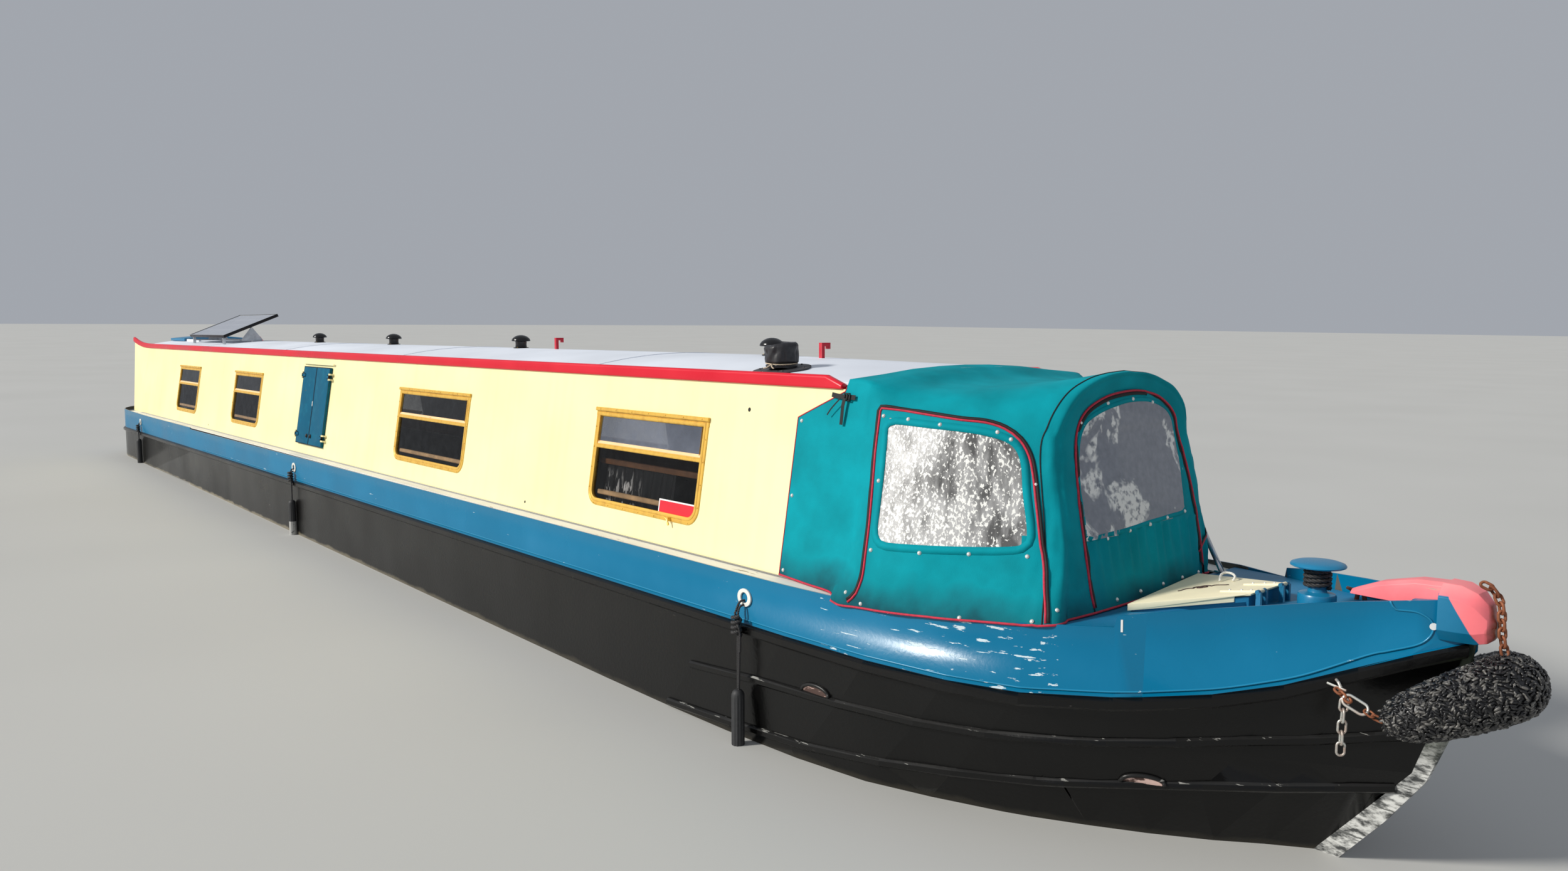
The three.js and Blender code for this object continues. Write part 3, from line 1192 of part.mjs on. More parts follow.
// Each rope leaves its eye straight out, turns down and hangs: shares of the way out, and of the drop.
const ROPE_ROUTE = [
  { out: 0, drop: 0 },
  { out: 0.3, drop: 0 },
  { out: 0.52, drop: 0.008 },
  { out: 0.68, drop: 0.02 },
  { out: 0.8, drop: 0.038 },
  { out: 0.88, drop: 0.06 },
  { out: 0.93, drop: 0.09 },
  { out: 0.96, drop: 0.13 },
  { out: 0.98, drop: 0.18 },
  { out: 0.99, drop: 0.25 },
  { out: 1, drop: 0.35 },
  { out: 1, drop: 0.5 },
  { out: 1, drop: 0.65 },
  { out: 1, drop: 0.82 },
  { out: 1, drop: 1 },
];
const ROPE_RADIUS = 6;
const EYE = { thickness: 9, ropeBelow: 35 };
for (const { name, x, y, eyeZ, topZ } of SIDE_FENDERS) {
  const face = skinHalf(x - 34, eyeZ) + GAP;
  const extrusion = { depth: EYE.thickness, bevelEnabled: false, curveSegments: 10 };
  const eye = new THREE.ExtrudeGeometry(eyeShape(), extrusion);
  add(`fender_eye_${name}`, eye.rotateX(Math.PI / 2).translate(x, -face, eyeZ), 0xe6e2d6, 0.5, 0.3);
  const startY = face + EYE.thickness + GAP;
  const startZ = eyeZ - EYE.ropeBelow;
  const route = ROPE_ROUTE.map(({ out, drop }) => [
    x,
    -(startY + out * (y - startY)),
    startZ - drop * (startZ - topZ - GAP),
  ]);
  add(`fender_rope_${name}`, bar(route, ROPE_RADIUS, 8, 18), 0x1a1a1b, 0.95, 0);
  const { radius, length } = FENDER;
  const bottomZ = topZ - length;
  const profile = [
    [0, bottomZ],
    [radius - 12, bottomZ],
    [radius, bottomZ + 14],
    [radius, topZ - 20],
    [16, topZ - 6],
    [16, topZ],
    [0, topZ],
  ];
  add(`side_fender_${name}`, turned(profile, x, -y, 14), 0x1d1e20, 0.7, 0);
}
function eyeShape() {
  const shape = new THREE.Shape();
  shape.absellipse(0, 0, 34, 44, 0, 2 * Math.PI);
  const hole = new THREE.Path();
  hole.absellipse(0, 0, 18, 26, 0, 2 * Math.PI, true);
  shape.holes.push(hole);
  return shape;
}

export default boat;
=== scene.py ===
"""A steel narrowboat afloat: finishes, cloth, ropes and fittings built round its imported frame."""
import json
from math import copysign, cos, exp, pi, radians, sin, tau

import bmesh
import bpy
from mathutils import Matrix, Vector, noise
from mathutils.bvhtree import BVHTree

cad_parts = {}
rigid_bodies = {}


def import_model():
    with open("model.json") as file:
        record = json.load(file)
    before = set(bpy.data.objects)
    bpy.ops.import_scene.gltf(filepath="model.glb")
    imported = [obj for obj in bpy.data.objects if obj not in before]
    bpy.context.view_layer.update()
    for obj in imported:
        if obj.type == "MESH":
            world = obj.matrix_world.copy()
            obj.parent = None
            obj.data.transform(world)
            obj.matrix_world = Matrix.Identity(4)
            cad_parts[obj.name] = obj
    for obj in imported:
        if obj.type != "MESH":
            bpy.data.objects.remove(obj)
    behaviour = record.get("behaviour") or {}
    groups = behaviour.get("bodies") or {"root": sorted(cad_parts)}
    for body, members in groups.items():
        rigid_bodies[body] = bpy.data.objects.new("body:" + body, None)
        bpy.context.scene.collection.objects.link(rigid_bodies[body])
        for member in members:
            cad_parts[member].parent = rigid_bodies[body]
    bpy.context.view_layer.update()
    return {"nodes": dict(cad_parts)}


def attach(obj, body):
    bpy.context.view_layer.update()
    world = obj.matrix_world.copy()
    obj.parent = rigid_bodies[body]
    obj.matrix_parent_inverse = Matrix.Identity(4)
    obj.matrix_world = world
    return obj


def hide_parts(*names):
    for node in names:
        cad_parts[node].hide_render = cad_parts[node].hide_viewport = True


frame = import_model()
world_objects = bpy.context.scene.collection.objects

# Camera. It stands on the bank ahead of the bow on the starboard side, at about 2.4 m over the baseplate,
# and looks aft along the boat with a moderately wide lens.
camera_data = bpy.data.cameras.new("camera")
camera_data.sensor_width = 36.0
camera_data.lens = 26.0284
camera_data.clip_end = 500.0
bpy.context.scene.view_settings.view_transform = "Standard"
camera = bpy.data.objects.new("camera", camera_data)
camera.location = (10.3267, -4.36491, 2.38119)
camera.rotation_euler = [radians(turn) for turn in (84.59704, -0.00996, 49.61362)]
world_objects.link(camera)
bpy.context.scene.camera = camera


# Fender ropes. Each side fender hangs from an oval steel eye on a black three-strand rope, doubled
# through the eye and closed with a knot that leaves a short tail.
def feed(tree, node, inputs):
    """Each input of a node is linked where it is given a socket and set where it is given a value."""
    for key, value in inputs.items():
        if isinstance(value, bpy.types.NodeSocket):
            tree.links.new(value, node.inputs[key])
        else:
            node.inputs[key].default_value = value


def put(tree, kind, inputs=None, **settings):
    """A new node with its settings and its inputs."""
    made = tree.nodes.new(kind)
    for name, value in settings.items():
        setattr(made, name, value)
    feed(tree, made, inputs or {})
    return made


def mottle(tree, place, scale, detail=2.0, **more):
    """Soft irregular patches."""
    return put(tree, "ShaderNodeTexNoise", {"Vector": place, "Scale": scale, "Detail": detail, **more}).outputs["Fac"]


def ramp(tree, value, low, high, at_low=0.0, at_high=1.0):
    """A value carried from one span to another, and held at its ends."""
    return put(tree, "ShaderNodeMapRange", {0: value, 1: low, 2: high, 3: at_low, 4: at_high}).outputs[0]


def blend(tree, share, under, over, way="MIX"):
    """One colour laid over another."""
    inputs = {"Factor": share, 6: light(under), 7: light(over)}
    return put(tree, "ShaderNodeMix", inputs, data_type="RGBA", blend_type=way).outputs[2]


def relief(tree, height, strength, distance):
    inputs = {"Height": height, "Strength": strength, "Distance": distance}
    return put(tree, "ShaderNodeBump", inputs).outputs["Normal"]


def light(colour):
    """A colour given as it looks on a screen, in three steps of 0 to 255, as light; any other value as it is."""
    if not isinstance(colour, tuple) or len(colour) != 3:
        return colour
    parts = [value / 255 for value in colour]
    return tuple(v / 12.92 if v <= 0.04045 else ((v + 0.055) / 1.055) ** 2.4 for v in parts) + (1.0,)


def material(name, build):
    """A material whose build function gets its tree, its shader and its Object coordinates."""
    made = bpy.data.materials.new(name)
    made.use_nodes = True
    tree = made.node_tree
    tree.nodes.clear()
    shader = put(tree, "ShaderNodeBsdfPrincipled")
    output = put(tree, "ShaderNodeOutputMaterial", {"Surface": shader.outputs["BSDF"]})
    output.location = (400, 0)
    place = put(tree, "ShaderNodeTexCoord").outputs["Object"]
    build(tree, shader, place)
    return made


def mesh_of(name, verts, faces, smooth=True):
    mesh = bpy.data.meshes.new(name)
    mesh.from_pydata([tuple(v) for v in verts], [], faces)
    mesh.validate()
    mesh.polygons.foreach_set("use_smooth", [smooth] * len(mesh.polygons))
    return mesh


def fit(name, mesh, finish, body="boat", replaces=()):
    """A finished piece: its mesh, its one or more finishes, the body that carries it and what it stands for."""
    piece = bpy.data.objects.new(name, mesh)
    world_objects.link(piece)
    for each in finish if isinstance(finish, (list, tuple)) else [finish]:
        mesh.materials.append(each)
    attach(piece, body)
    if replaces:
        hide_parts(*replaces)
    return piece


def along(path):
    """At each point of a path: the point, the way along, and two ways across that don't twist."""
    path = [Vector(p) for p in path]
    rows, across = [], None
    for i, point in enumerate(path):
        ahead = (path[min(i + 1, len(path) - 1)] - path[max(i - 1, 0)]).normalized()
        if across is None:
            across = ahead.cross(Vector((0.12, 0.31, 1.0))).normalized()
        across = (across - ahead * across.dot(ahead)).normalized()
        rows.append((point, ahead, across, ahead.cross(across)))
    return rows


def curve_point(a, b, c, d, t):
    """A point of a smooth curve through four, a share of the way from the second to the third."""
    return 0.5 * (2 * b + (c - a) * t + (2 * a - 5 * b + 4 * c - d) * t * t + (3 * b - a - 3 * c + d) * t ** 3)


def smooth_path(points, step):
    """Points a step apart on a smooth curve through the given ones."""
    points = [Vector(p) for p in points]
    ends = [points[0] * 2 - points[1], *points, points[-1] * 2 - points[-2]]
    made = []
    for a, b, c, d in zip(ends, ends[1:], ends[2:], ends[3:]):
        count = max(1, round((c - b).length / step))
        made += [curve_point(a, b, c, d, k / count) for k in range(count)]
    return [*made, points[-1]]


def woven(rows, across, round_it=True, ring=False):
    """Four-sided faces between rows of points, round each row or edge to edge, and back to the first row in a ring."""
    return [(i * across + k, i * across + (k + 1) % across, (i + 1) % rows * across + (k + 1) % across,
             (i + 1) % rows * across + k)
            for i in range(rows if ring else rows - 1) for k in range(across if round_it else across - 1)]


def caps(around, total):
    """The two closing faces of a row of rings."""
    return [tuple(range(around))[::-1], tuple(range(total - around, total))]


def tube(path, radius, sides=8):
    """A round bar along a path; its radius is one number or one for each point."""
    rows = along(path)
    count = len(rows)
    radii = radius if isinstance(radius, (list, tuple)) else [radius] * count
    verts = []
    for (point, _, across, up), r in zip(rows, radii):
        for k in range(sides):
            turn = tau * k / sides
            verts.append(point + across * (r * cos(turn)) + up * (r * sin(turn)))
    return verts, woven(count, sides) + caps(sides, len(verts))


def joined(*parts):
    """The vertices and faces of several parts as one."""
    verts, faces = [], []
    for more_verts, more_faces in parts:
        start = len(verts)
        verts += list(more_verts)
        faces += [tuple(i + start for i in face) for face in more_faces]
    return verts, faces


def laid_rope(path, radius, pitch, sides=6, strands=3):
    """Strands that turn round each other along a path, once each pitch."""
    rows = along(path)
    strand = radius * 0.54
    gone, lengths = 0.0, [0.0]
    for before, after in zip(rows, rows[1:]):
        gone += (after[0] - before[0]).length
        lengths.append(gone)
    parts = []
    for s in range(strands):
        line = []
        for (point, _, across, up), reached in zip(rows, lengths):
            turn = tau * (s / strands + reached / pitch)
            line.append(point + (across * cos(turn) + up * sin(turn)) * (radius - strand))
        parts.append(tube(line, strand, sides))
    return joined(*parts)


SIDE_FENDERS = (
    # name, place along the boat, distance out, top of the fender, height of the rope's start, knot's height
    ("fore", 6.13, 1.086, 0.65, 1.058, 0.985),
    ("middle", -0.63, 1.074, 0.785, 1.054, 1.022),
    ("aft", -7.2, 1.074, 0.87, 1.065, 1.034),
)
ROPE_ROUTE = (
    # share of the way out from the eye, share of the drop
    (0, 0), (0.3, 0), (0.52, 0.008), (0.68, 0.02), (0.8, 0.038), (0.88, 0.06), (0.93, 0.09), (0.96, 0.13),
    (0.98, 0.18), (0.99, 0.25), (1, 0.35), (1, 0.5), (1, 0.65), (1, 0.82), (1, 1),
)
EYE_FACE = {"fore": 1.0482, "middle": 1.0496, "aft": 1.0496}
FENDER_ROPE_RADIUS = 0.006
SEAT_GAP = 0.0003


def rope_finish(tree, shader, place):
    grain = mottle(tree, place, 260.0, 3.0)
    tone = ramp(tree, grain, 0.3, 0.8, 0.6, 1.5)
    colour = blend(tree, 1.0, (47, 46, 47), tone, "MULTIPLY")
    bump = relief(tree, grain, 0.5, 0.002)
    feed(tree, shader, {"Base Color": colour, "Normal": bump, "Roughness": 0.62})


rope_black = material("black_rope", rope_finish)

for name, x, out, top, start, knot in SIDE_FENDERS:
    near = EYE_FACE[name]
    route = [(x, -(near + share * (out - near)), start - drop * (start - top - SEAT_GAP)) for share, drop in ROPE_ROUTE]
    path = smooth_path(route, 0.006)
    length = sum((b - a).length for a, b in zip(path, path[1:]))
    rope = fit(f"rope_{name}", mesh_of(f"rope_{name}", *laid_rope(path, FENDER_ROPE_RADIUS, 0.034)), rope_black,
               replaces=[f"fender_rope_{name}"])
    # The second leg beside the first, through the eye's hole, the knot's turns and its tail.
    leg = [(x - 0.004, -(near - 0.03), start + 0.012), (x - 0.006, -(near - 0.006), start + 0.02),
           (x - 0.014, -(near + 0.016), start + 0.012), (x - 0.021, -(out - 0.006), start - 0.03),
           (x - 0.02, -out, (start + knot) / 2), (x - 0.015, -out, knot + 0.02), (x - 0.006, -(out + 0.008), knot)]
    turns = []
    for i in range(61):
        turn = tau * i / 15
        turns.append((x - 0.004 + 0.022 * cos(turn), -(out + 0.004 + 0.018 * sin(turn)), knot + 0.026 - 0.0016 * i))
    doubled = [(x + 0.012, -(out + 0.004), knot - 0.06), (x + 0.014, -(out + 0.002), (knot + top) / 2),
               (x + 0.006, -out, top - 0.004)]
    tail = [(x + 0.008, -(out + 0.012), knot - 0.012), (x + 0.024, -(out + 0.016), knot - 0.018),
            (x + 0.027, -(out + 0.008), knot - 0.06), (x + 0.021, -(out + 0.004), knot - 0.15)]
    parts = [laid_rope(smooth_path(points, 0.006), FENDER_ROPE_RADIUS * 1.1, 0.034) for points in (leg, tail, doubled)]
    parts.append(laid_rope(smooth_path(turns, 0.005), FENDER_ROPE_RADIUS * 1.6, 0.034))
    knot_piece = fit(f"knot_{name}", mesh_of(f"knot_{name}", *joined(*parts)), rope_black)
    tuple(route[0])
    [tuple(p) for p in path]


# Floor and lights. The boat floats a little down by the stern, so the floor lies on that waterline. One broad
# lamp from high on the starboard quarter, as the daylight falls, and an even pale surround.
WATER_AT_X = 2.6
WATER_Z = 0.42
WATER_SLOPE = 0.012078


def water_z(x):
    return WATER_Z + WATER_SLOPE * (WATER_AT_X - x)


FLOOR_HALF = 220.0
corners = [(sx * FLOOR_HALF, sy * FLOOR_HALF, water_z(sx * FLOOR_HALF))
           for sx, sy in ((-1, -1), (1, -1), (1, 1), (-1, 1))]
floor = bpy.data.objects.new("floor", mesh_of("floor", corners, [(0, 1, 2, 3)]))
world_objects.link(floor)


def floor_finish(tree, shader, place):
    cloud = mottle(tree, place, 0.35, 2.0)
    colour = blend(tree, cloud, (0.5, 0.5, 0.48, 1), (0.56, 0.56, 0.54, 1))
    feed(tree, shader, {"Base Color": colour, "Roughness": 0.7})


floor.data.materials.append(material("pale_floor", floor_finish))

surround = bpy.data.worlds.new("surround")
bpy.context.scene.world = surround
surround.use_nodes = True
surround.node_tree.nodes["Background"].inputs["Color"].default_value = (0.86, 0.91, 1.0, 1)
surround.node_tree.nodes["Background"].inputs["Strength"].default_value = 0.42
lamp_data = bpy.data.lights.new("key", "SUN")
lamp_data.energy = 3.5
lamp_data.angle = radians(9)
lamp_data.color = (1.0, 0.965, 0.9)
lamp = bpy.data.objects.new("key", lamp_data)
lamp.rotation_euler = Vector((0.4, 0.86, -0.56)).to_track_quat("-Z", "Y").to_euler()
world_objects.link(lamp)


# Hull. Welded steel plate round a flat baseplate, with half-round rubbing strakes. Below the top strake it
# wears tar blacking, brownish and dull aft and glossy at the bow; above it gloss blue enamel, scuffed white
# where fenders and ropes rub, up to a light grey rim. The stem bar's paint has been knocked off.
def effect(name, inputs, outputs, build):
    """A shader group with named sockets; its build function gets the tree, what goes in and what comes out."""
    tree = bpy.data.node_groups.new(name, "ShaderNodeTree")
    for label, kind in inputs:
        tree.interface.new_socket(label, in_out="INPUT", socket_type="NodeSocket" + kind)
    for label, kind in outputs:
        tree.interface.new_socket(label, in_out="OUTPUT", socket_type="NodeSocket" + kind)
    given = tree.nodes.new("NodeGroupInput").outputs
    taken = tree.nodes.new("NodeGroupOutput").inputs
    build(tree, given, taken)
    return tree


def maths(tree, operation, *values, use_clamp=False):
    return put(tree, "ShaderNodeMath", dict(enumerate(values)), operation=operation, use_clamp=use_clamp).outputs[0]


def drawn_out(tree, place, scale, turn=(0.0, 0.0, 0.0)):
    """A place whose patterns come out stretched and turned."""
    return put(tree, "ShaderNodeMapping", {"Vector": place, "Scale": scale, "Rotation": turn}).outputs[0]


def axes(tree, place):
    return put(tree, "ShaderNodeSeparateXYZ", {0: place}).outputs


def paint_ageing(tree, given, taken):
    patches = mottle(tree, given["Place"], given["Patch scale"], 4.0)
    tone = ramp(tree, patches, 0.3, 0.7, 0.93, 1.06)
    painted = blend(tree, 1.0, given["Paint"], tone, "MULTIPLY")
    drawn = drawn_out(tree, given["Place"], (1.1, 5.0, 11.0))
    scrapes = mottle(tree, drawn, 4.5, 6.0, Roughness=0.62)
    level = maths(tree, "SUBTRACT", 0.8, given["Wear"])
    above = maths(tree, "ADD", level, 0.015)
    chipped = ramp(tree, scrapes, level, above)
    worn = blend(tree, chipped, painted, given["Worn"])
    dull = ramp(tree, patches, 0.3, 0.7, -0.07, 0.09)
    gloss = maths(tree, "ADD", dull, given["Roughness"])
    rough = maths(tree, "MULTIPLY_ADD", chipped, 0.25, gloss, use_clamp=True)
    skin = mottle(tree, given["Place"], 55.0, 3.0)
    ripple = mottle(tree, given["Place"], 1.7, 1.0)
    fine = maths(tree, "MULTIPLY_ADD", skin, 0.06, ripple)
    height = maths(tree, "MULTIPLY_ADD", chipped, -0.05, fine)
    for label, value in {"Color": worn, "Roughness": rough, "Height": height, "Chips": chipped}.items():
        tree.links.new(value, taken[label])


ageing = effect("paint_ageing",
                [("Place", "Vector"), ("Paint", "Color"), ("Worn", "Color"), ("Patch scale", "Float"),
                 ("Wear", "Float"), ("Roughness", "Float")],
                [("Color", "Color"), ("Roughness", "Float"), ("Height", "Float"), ("Chips", "Float")], paint_ageing)


def aged_paint(name, paint, worn, roughness, wear=0.0, patch=2.0, bump=0.25, tint=None, shine=0.5):
    """Brushed enamel on steel: patchy in tone, rippled with the plate, and scraped down to another colour."""
    def build(tree, shader, place):
        colour = tint(tree, place, paint) if tint else paint
        values = {"Place": place, "Paint": light(colour), "Worn": light(worn), "Patch scale": patch,
                  "Roughness": roughness, "Wear": wear(tree, place) if callable(wear) else wear}
        aged = put(tree, "ShaderNodeGroup", values, node_tree=ageing)
        height = relief(tree, aged.outputs["Height"], bump, 0.02)
        feed(tree, shader,
             {"Base Color": aged.outputs["Color"], "Roughness": aged.outputs["Roughness"], "Normal": height,
              "Specular IOR Level": shine})
    return material(name, build)


def blacking_tint(tree, place, paint):
    """Dull brown-grey aft, black forward, and a pale scum line and weed just over the water."""
    parts = axes(tree, place)
    forward = ramp(tree, parts["X"], -2.0, 6.2)
    body = blend(tree, forward, (12, 11, 10), paint)
    water = maths(tree, "MULTIPLY_ADD", parts["X"], WATER_SLOPE, parts["Z"])
    ragged = mottle(tree, place, 7.0, 5.0)
    over = maths(tree, "MULTIPLY_ADD", ragged, 0.05, water)
    level = WATER_Z + WATER_SLOPE * WATER_AT_X
    scum = ramp(tree, over, level + 0.055, level + 0.035)
    aft = ramp(tree, parts["X"], 5.0, -3.0, 0.06, 0.75)
    amount = maths(tree, "MULTIPLY", scum, aft)
    return blend(tree, amount, body, (150, 141, 120))


def stem_tint(tree, place, paint):
    """Bare grey-white steel and old paint in short patches, green just under the fender."""
    parts = axes(tree, place)
    drawn = drawn_out(tree, place, (6.0, 1.0, 15.0), (0, radians(-38), 0))
    marks = mottle(tree, drawn, 2.2, 7.0, Roughness=0.65)
    light = ramp(tree, marks, 0.42, 0.56)
    worn = blend(tree, light, (58, 60, 60), paint)
    high = ramp(tree, parts["Z"], 0.8, 0.95)
    return blend(tree, high, worn, (62, 72, 55))


def blue_wear(tree, place):
    """Scuffs are thickest under the cover, where fenders and boots rub."""
    parts = axes(tree, place)
    away = maths(tree, "COMPARE", parts["X"], 7.2, 0.55)
    return ramp(tree, away, 0.0, 1.0, 0.09, 0.185)


BLUE = (0, 110, 150)
blacking = aged_paint("tar_blacking", (9, 9, 9), (84, 80, 76), 0.26, wear=0.06, patch=1.3, bump=0.7, tint=blacking_tint,
                      shine=0.3)
# The strakes' upward faces are scraped to pale bare steel in patches, and the same patches stand in for painted
# highlights along their tops; the drain rims share this finish.
strake_wear_and_highlight = aged_paint("blacking_worn_and_lit_at_strakes", (30, 30, 30), (142, 142, 138), 0.38, wear=0.19, patch=6, bump=0.35,
                         shine=0.3)
blue_enamel = aged_paint("gloss_blue_enamel", BLUE, (196, 214, 222), 0.26, wear=blue_wear, patch=1.6, bump=0.3,
                         shine=0.35)
rim_grey = aged_paint("grey_rim", (170, 168, 162), (120, 116, 108), 0.55, wear=0.12, patch=4)
stem_bare = aged_paint("worn_stem", (196, 197, 194), (90, 92, 90), 0.62, wear=0.16, patch=9, bump=0.8, tint=stem_tint)
bilge = aged_paint("bilge_paint", (92, 88, 82), (60, 50, 44), 0.7, wear=0.15, patch=3)

STRAKE_TOP = ((-9.0, 0.965), (5.92, 0.965), (6.42, 0.963), (6.92, 0.958), (7.32, 0.955), (7.62, 0.957), (7.92, 0.978),
              (8.02, 0.99), (8.22, 1.02), (8.42, 1.075), (8.62, 1.16), (8.77, 1.225), (8.92, 1.285), (9.3, 1.285))


def between(rows, place):
    """A value read off a short table of places and values."""
    for (x0, z0), (x1, z1) in zip(rows, rows[1:]):
        if place <= x1:
            return z0 + (z1 - z0) * (place - x0) / (x1 - x0)
    return rows[-1][1]


def eased(work, width, sharp, segments=2):
    """The sharp edges of a mesh in work rounded by a width."""
    edges = [e for e in work.edges if e.is_manifold and e.calc_face_angle(0) > radians(sharp)]
    bmesh.ops.bevel(work, geom=edges, offset=width, offset_type="OFFSET", segments=segments, profile=0.6,
                    affect="EDGES", clamp_overlap=True)


def copied(*nodes, width=0.0, flat=True, sharp=32, segments=2, sort=None):
    """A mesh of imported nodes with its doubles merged, its edges eased by a width, and its faces sorted
    among finishes by a function of a face's middle and normal."""
    work = bmesh.new()
    for node in nodes:
        work.from_mesh(frame["nodes"][node].data)
    bmesh.ops.remove_doubles(work, verts=work.verts, dist=2e-5)
    if flat:
        bmesh.ops.dissolve_limit(work, angle_limit=radians(0.4), verts=work.verts, edges=work.edges)
    if width:
        eased(work, width, sharp, segments)
    for face in work.faces:
        face.smooth = True
        face.material_index = sort(face.calc_center_median(), face.normal) if sort else 0
    mesh = bpy.data.meshes.new(nodes[0])
    work.to_mesh(mesh)
    work.free()
    mesh.set_sharp_from_angle(angle=radians(sharp))
    return mesh


def dress(name, node, finish, slot, body="boat", **shape):
    """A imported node's own shape, eased and finished, that stands for it."""
    return fit(name, copied(node, **shape), finish, body, [node])


def hull_part(middle, normal):
    x, y, z = middle
    if abs(y) < 0.0132 and x > 8.04 and z < 1.29:
        return 3
    if normal.y * y < -1e-6 and abs(normal.y) > 0.2 or (0.009 < z < 0.02 and normal.z > 0.9):
        return 1 if z > 1.15 and x > 7.5 else 4
    line = between(STRAKE_TOP, x)
    if normal.z > 0.8 and z > 1.18:
        return 2 if x < 6.7 else 1
    if z > line + 0.002 and not (z < line + 0.004 and normal.z > 0.5):
        return 1
    if normal.z > 0.35 and z < line - 0.08 and z > 0.3:
        return 5
    return 0


hull_mesh = copied("hull", flat=False, sharp=13, sort=hull_part)


def skin_of(mesh):
    """A mesh's surface, to find points on."""
    return BVHTree.FromPolygons([v.co for v in mesh.vertices], [tuple(p.vertices) for p in mesh.polygons])


hull_skin = skin_of(hull_mesh)
fit("hull_plating", hull_mesh, [blacking, blue_enamel, rim_grey, stem_bare, bilge, strake_wear_and_highlight],
    replaces=["hull"])


def on_skin(x, z, side=-1):
    """The point of the outside that stands at a place along the boat and a height, and its normal."""
    point, normal, _, _ = hull_skin.ray_cast(Vector((x, side * 2.0, z)), Vector((0, -side, 0)))
    return point, normal if normal.y * side > 0 else -normal


# Hull trims. A light coach line is lined out above the top strake and turns back short of the stem. Below it on
# each side are two drains: low arches cut in the plate, whose hollow is drawn as a flat plate of brownish painted
# shade with pale painted highlights, with half-round rims welded over them.
coach_line_blue = aged_paint("light_blue_line", (24, 128, 168), (200, 214, 220), 0.3, wear=0.16)
HANDS = ((-1, "starboard"), (1, "port"))
COACH_TURN = ((8.647, 1.208), (8.699, 1.228), (8.777, 1.258), (8.808, 1.282), (8.822, 1.308), (8.825, 1.334),
              (8.815, 1.356), (8.794, 1.372), (8.77, 1.381), (8.74, 1.382), (8.72, 1.384), (8.711, 1.396),
              (8.704, 1.413))
for side, hand in HANDS:
    outline = [(x / 100, 0, between(STRAKE_TOP, x / 100) + 0.02) for x in range(-400, 856, 12)]
    outline += [(x, 0, z) for x, z in COACH_TURN]
    path = [on_skin(p.x, p.z, side)[0] for p in smooth_path(outline, 0.012)]
    fit(f"coach_line_{hand}", mesh_of("coach_line", *tube([p for p in path if p], 0.0042, 6)), coach_line_blue)
DRAINS = ((6.59, 0.725, 0.085, 0.04), (7.955, 0.597, 0.072, 0.036))
# The drain's hollow is a flat plate of painted shade; its pale patches are painted highlights on the lit inside.
drain_painted_shade = aged_paint("drain_shadow", (70, 50, 44), (206, 176, 166), 0.8, wear=0.34, patch=30)
for i, (x, z, half, rise) in enumerate(DRAINS):
    for side, hand in HANDS:
        arch = []
        for k in range(15):
            turn = pi * k / 14
            point, normal = on_skin(x + half * cos(turn), z + rise * sin(turn), side)
            arch.append(point + normal * 0.003)
        rim = tube(arch, 0.009, 8)
        middle, normal = on_skin(x, z + rise * 0.4, side)
        plate = [p + normal * 0.001 for p in arch]
        faces = [(0, k, k + 1) for k in range(1, 14)]
        fit(f"drain_rim_{i + 1}_{hand}", mesh_of("drain", *rim), strake_wear_and_highlight)
        fit(f"drain_hole_{i + 1}_{hand}", mesh_of("drain_hole", plate, faces, smooth=False), drain_painted_shade)


# Stem head. The nose over the stem and the tongue that runs aft between the bulwarks: rounded plate in coral
# red enamel, painted a paler pink on top as a highlight where it faces the light, with rust round its forward edge.
def coral_tint(tree, place, paint):
    parts = axes(tree, place)
    edge_noise = mottle(tree, place, 9.0, 4.0)
    # A paler pink is painted on the top as a highlight where it faces the light.
    up = maths(tree, "MULTIPLY_ADD", edge_noise, 0.05, parts["Z"])
    top = ramp(tree, up, 1.475, 1.515)
    lit_top = blend(tree, top, paint, (250, 140, 144))
    ahead = maths(tree, "MULTIPLY_ADD", edge_noise, 0.06, parts["X"])
    rust = ramp(tree, ahead, 9.01, 9.026)
    rusted = blend(tree, rust, lit_top, (128, 62, 40))
    slant = maths(tree, "MULTIPLY_ADD", parts["Z"], 0.57, parts["X"])
    behind = ramp(tree, slant, 9.7, 9.697)
    under = ramp(tree, parts["Z"], 1.453, 1.449)
    nose = ramp(tree, parts["X"], 8.826, 8.83)
    sides = maths(tree, "MULTIPLY", nose, under)
    blue = maths(tree, "MULTIPLY", behind, sides)
    return blend(tree, blue, rusted, BLUE)


coral = aged_paint("coral_red_enamel", (254, 126, 134), (190, 150, 140), 0.42, wear=0.1, patch=9, tint=coral_tint)
stem_head_mesh = copied("stem_head", width=0.012, segments=3, sharp=24)
fit("stem_nose", stem_head_mesh, coral, replaces=["stem_head"])


# Decks. Steel plate: a pale grey strip beside the cabin, dark gritty paint on the counter round the rudder tube,
# and blue enamel with sand in it on the foredeck, whose bulkhead closes the locker.
deck_grey = aged_paint("grey_deck_paint", (224, 223, 216), (150, 144, 132), 0.6, wear=0.14, patch=3)
fit("side_deck_plates", copied("side_deck_starboard", "side_deck_port"), deck_grey,
    replaces=["side_deck_starboard", "side_deck_port"])


def gritty(name, paint, worn):
    def build(tree, shader, place):
        grit = put(tree, "ShaderNodeTexVoronoi", {"Vector": place, "Scale": 320.0})
        patches = mottle(tree, place, 4.0, 5.0)
        shade = ramp(tree, patches, 0.35, 0.75)
        colour = blend(tree, shade, paint, worn)
        bump = relief(tree, grit.outputs["Distance"], 0.35, 0.0015)
        feed(tree, shader, {"Base Color": colour, "Normal": bump, "Roughness": 0.5})
    return material(name, build)


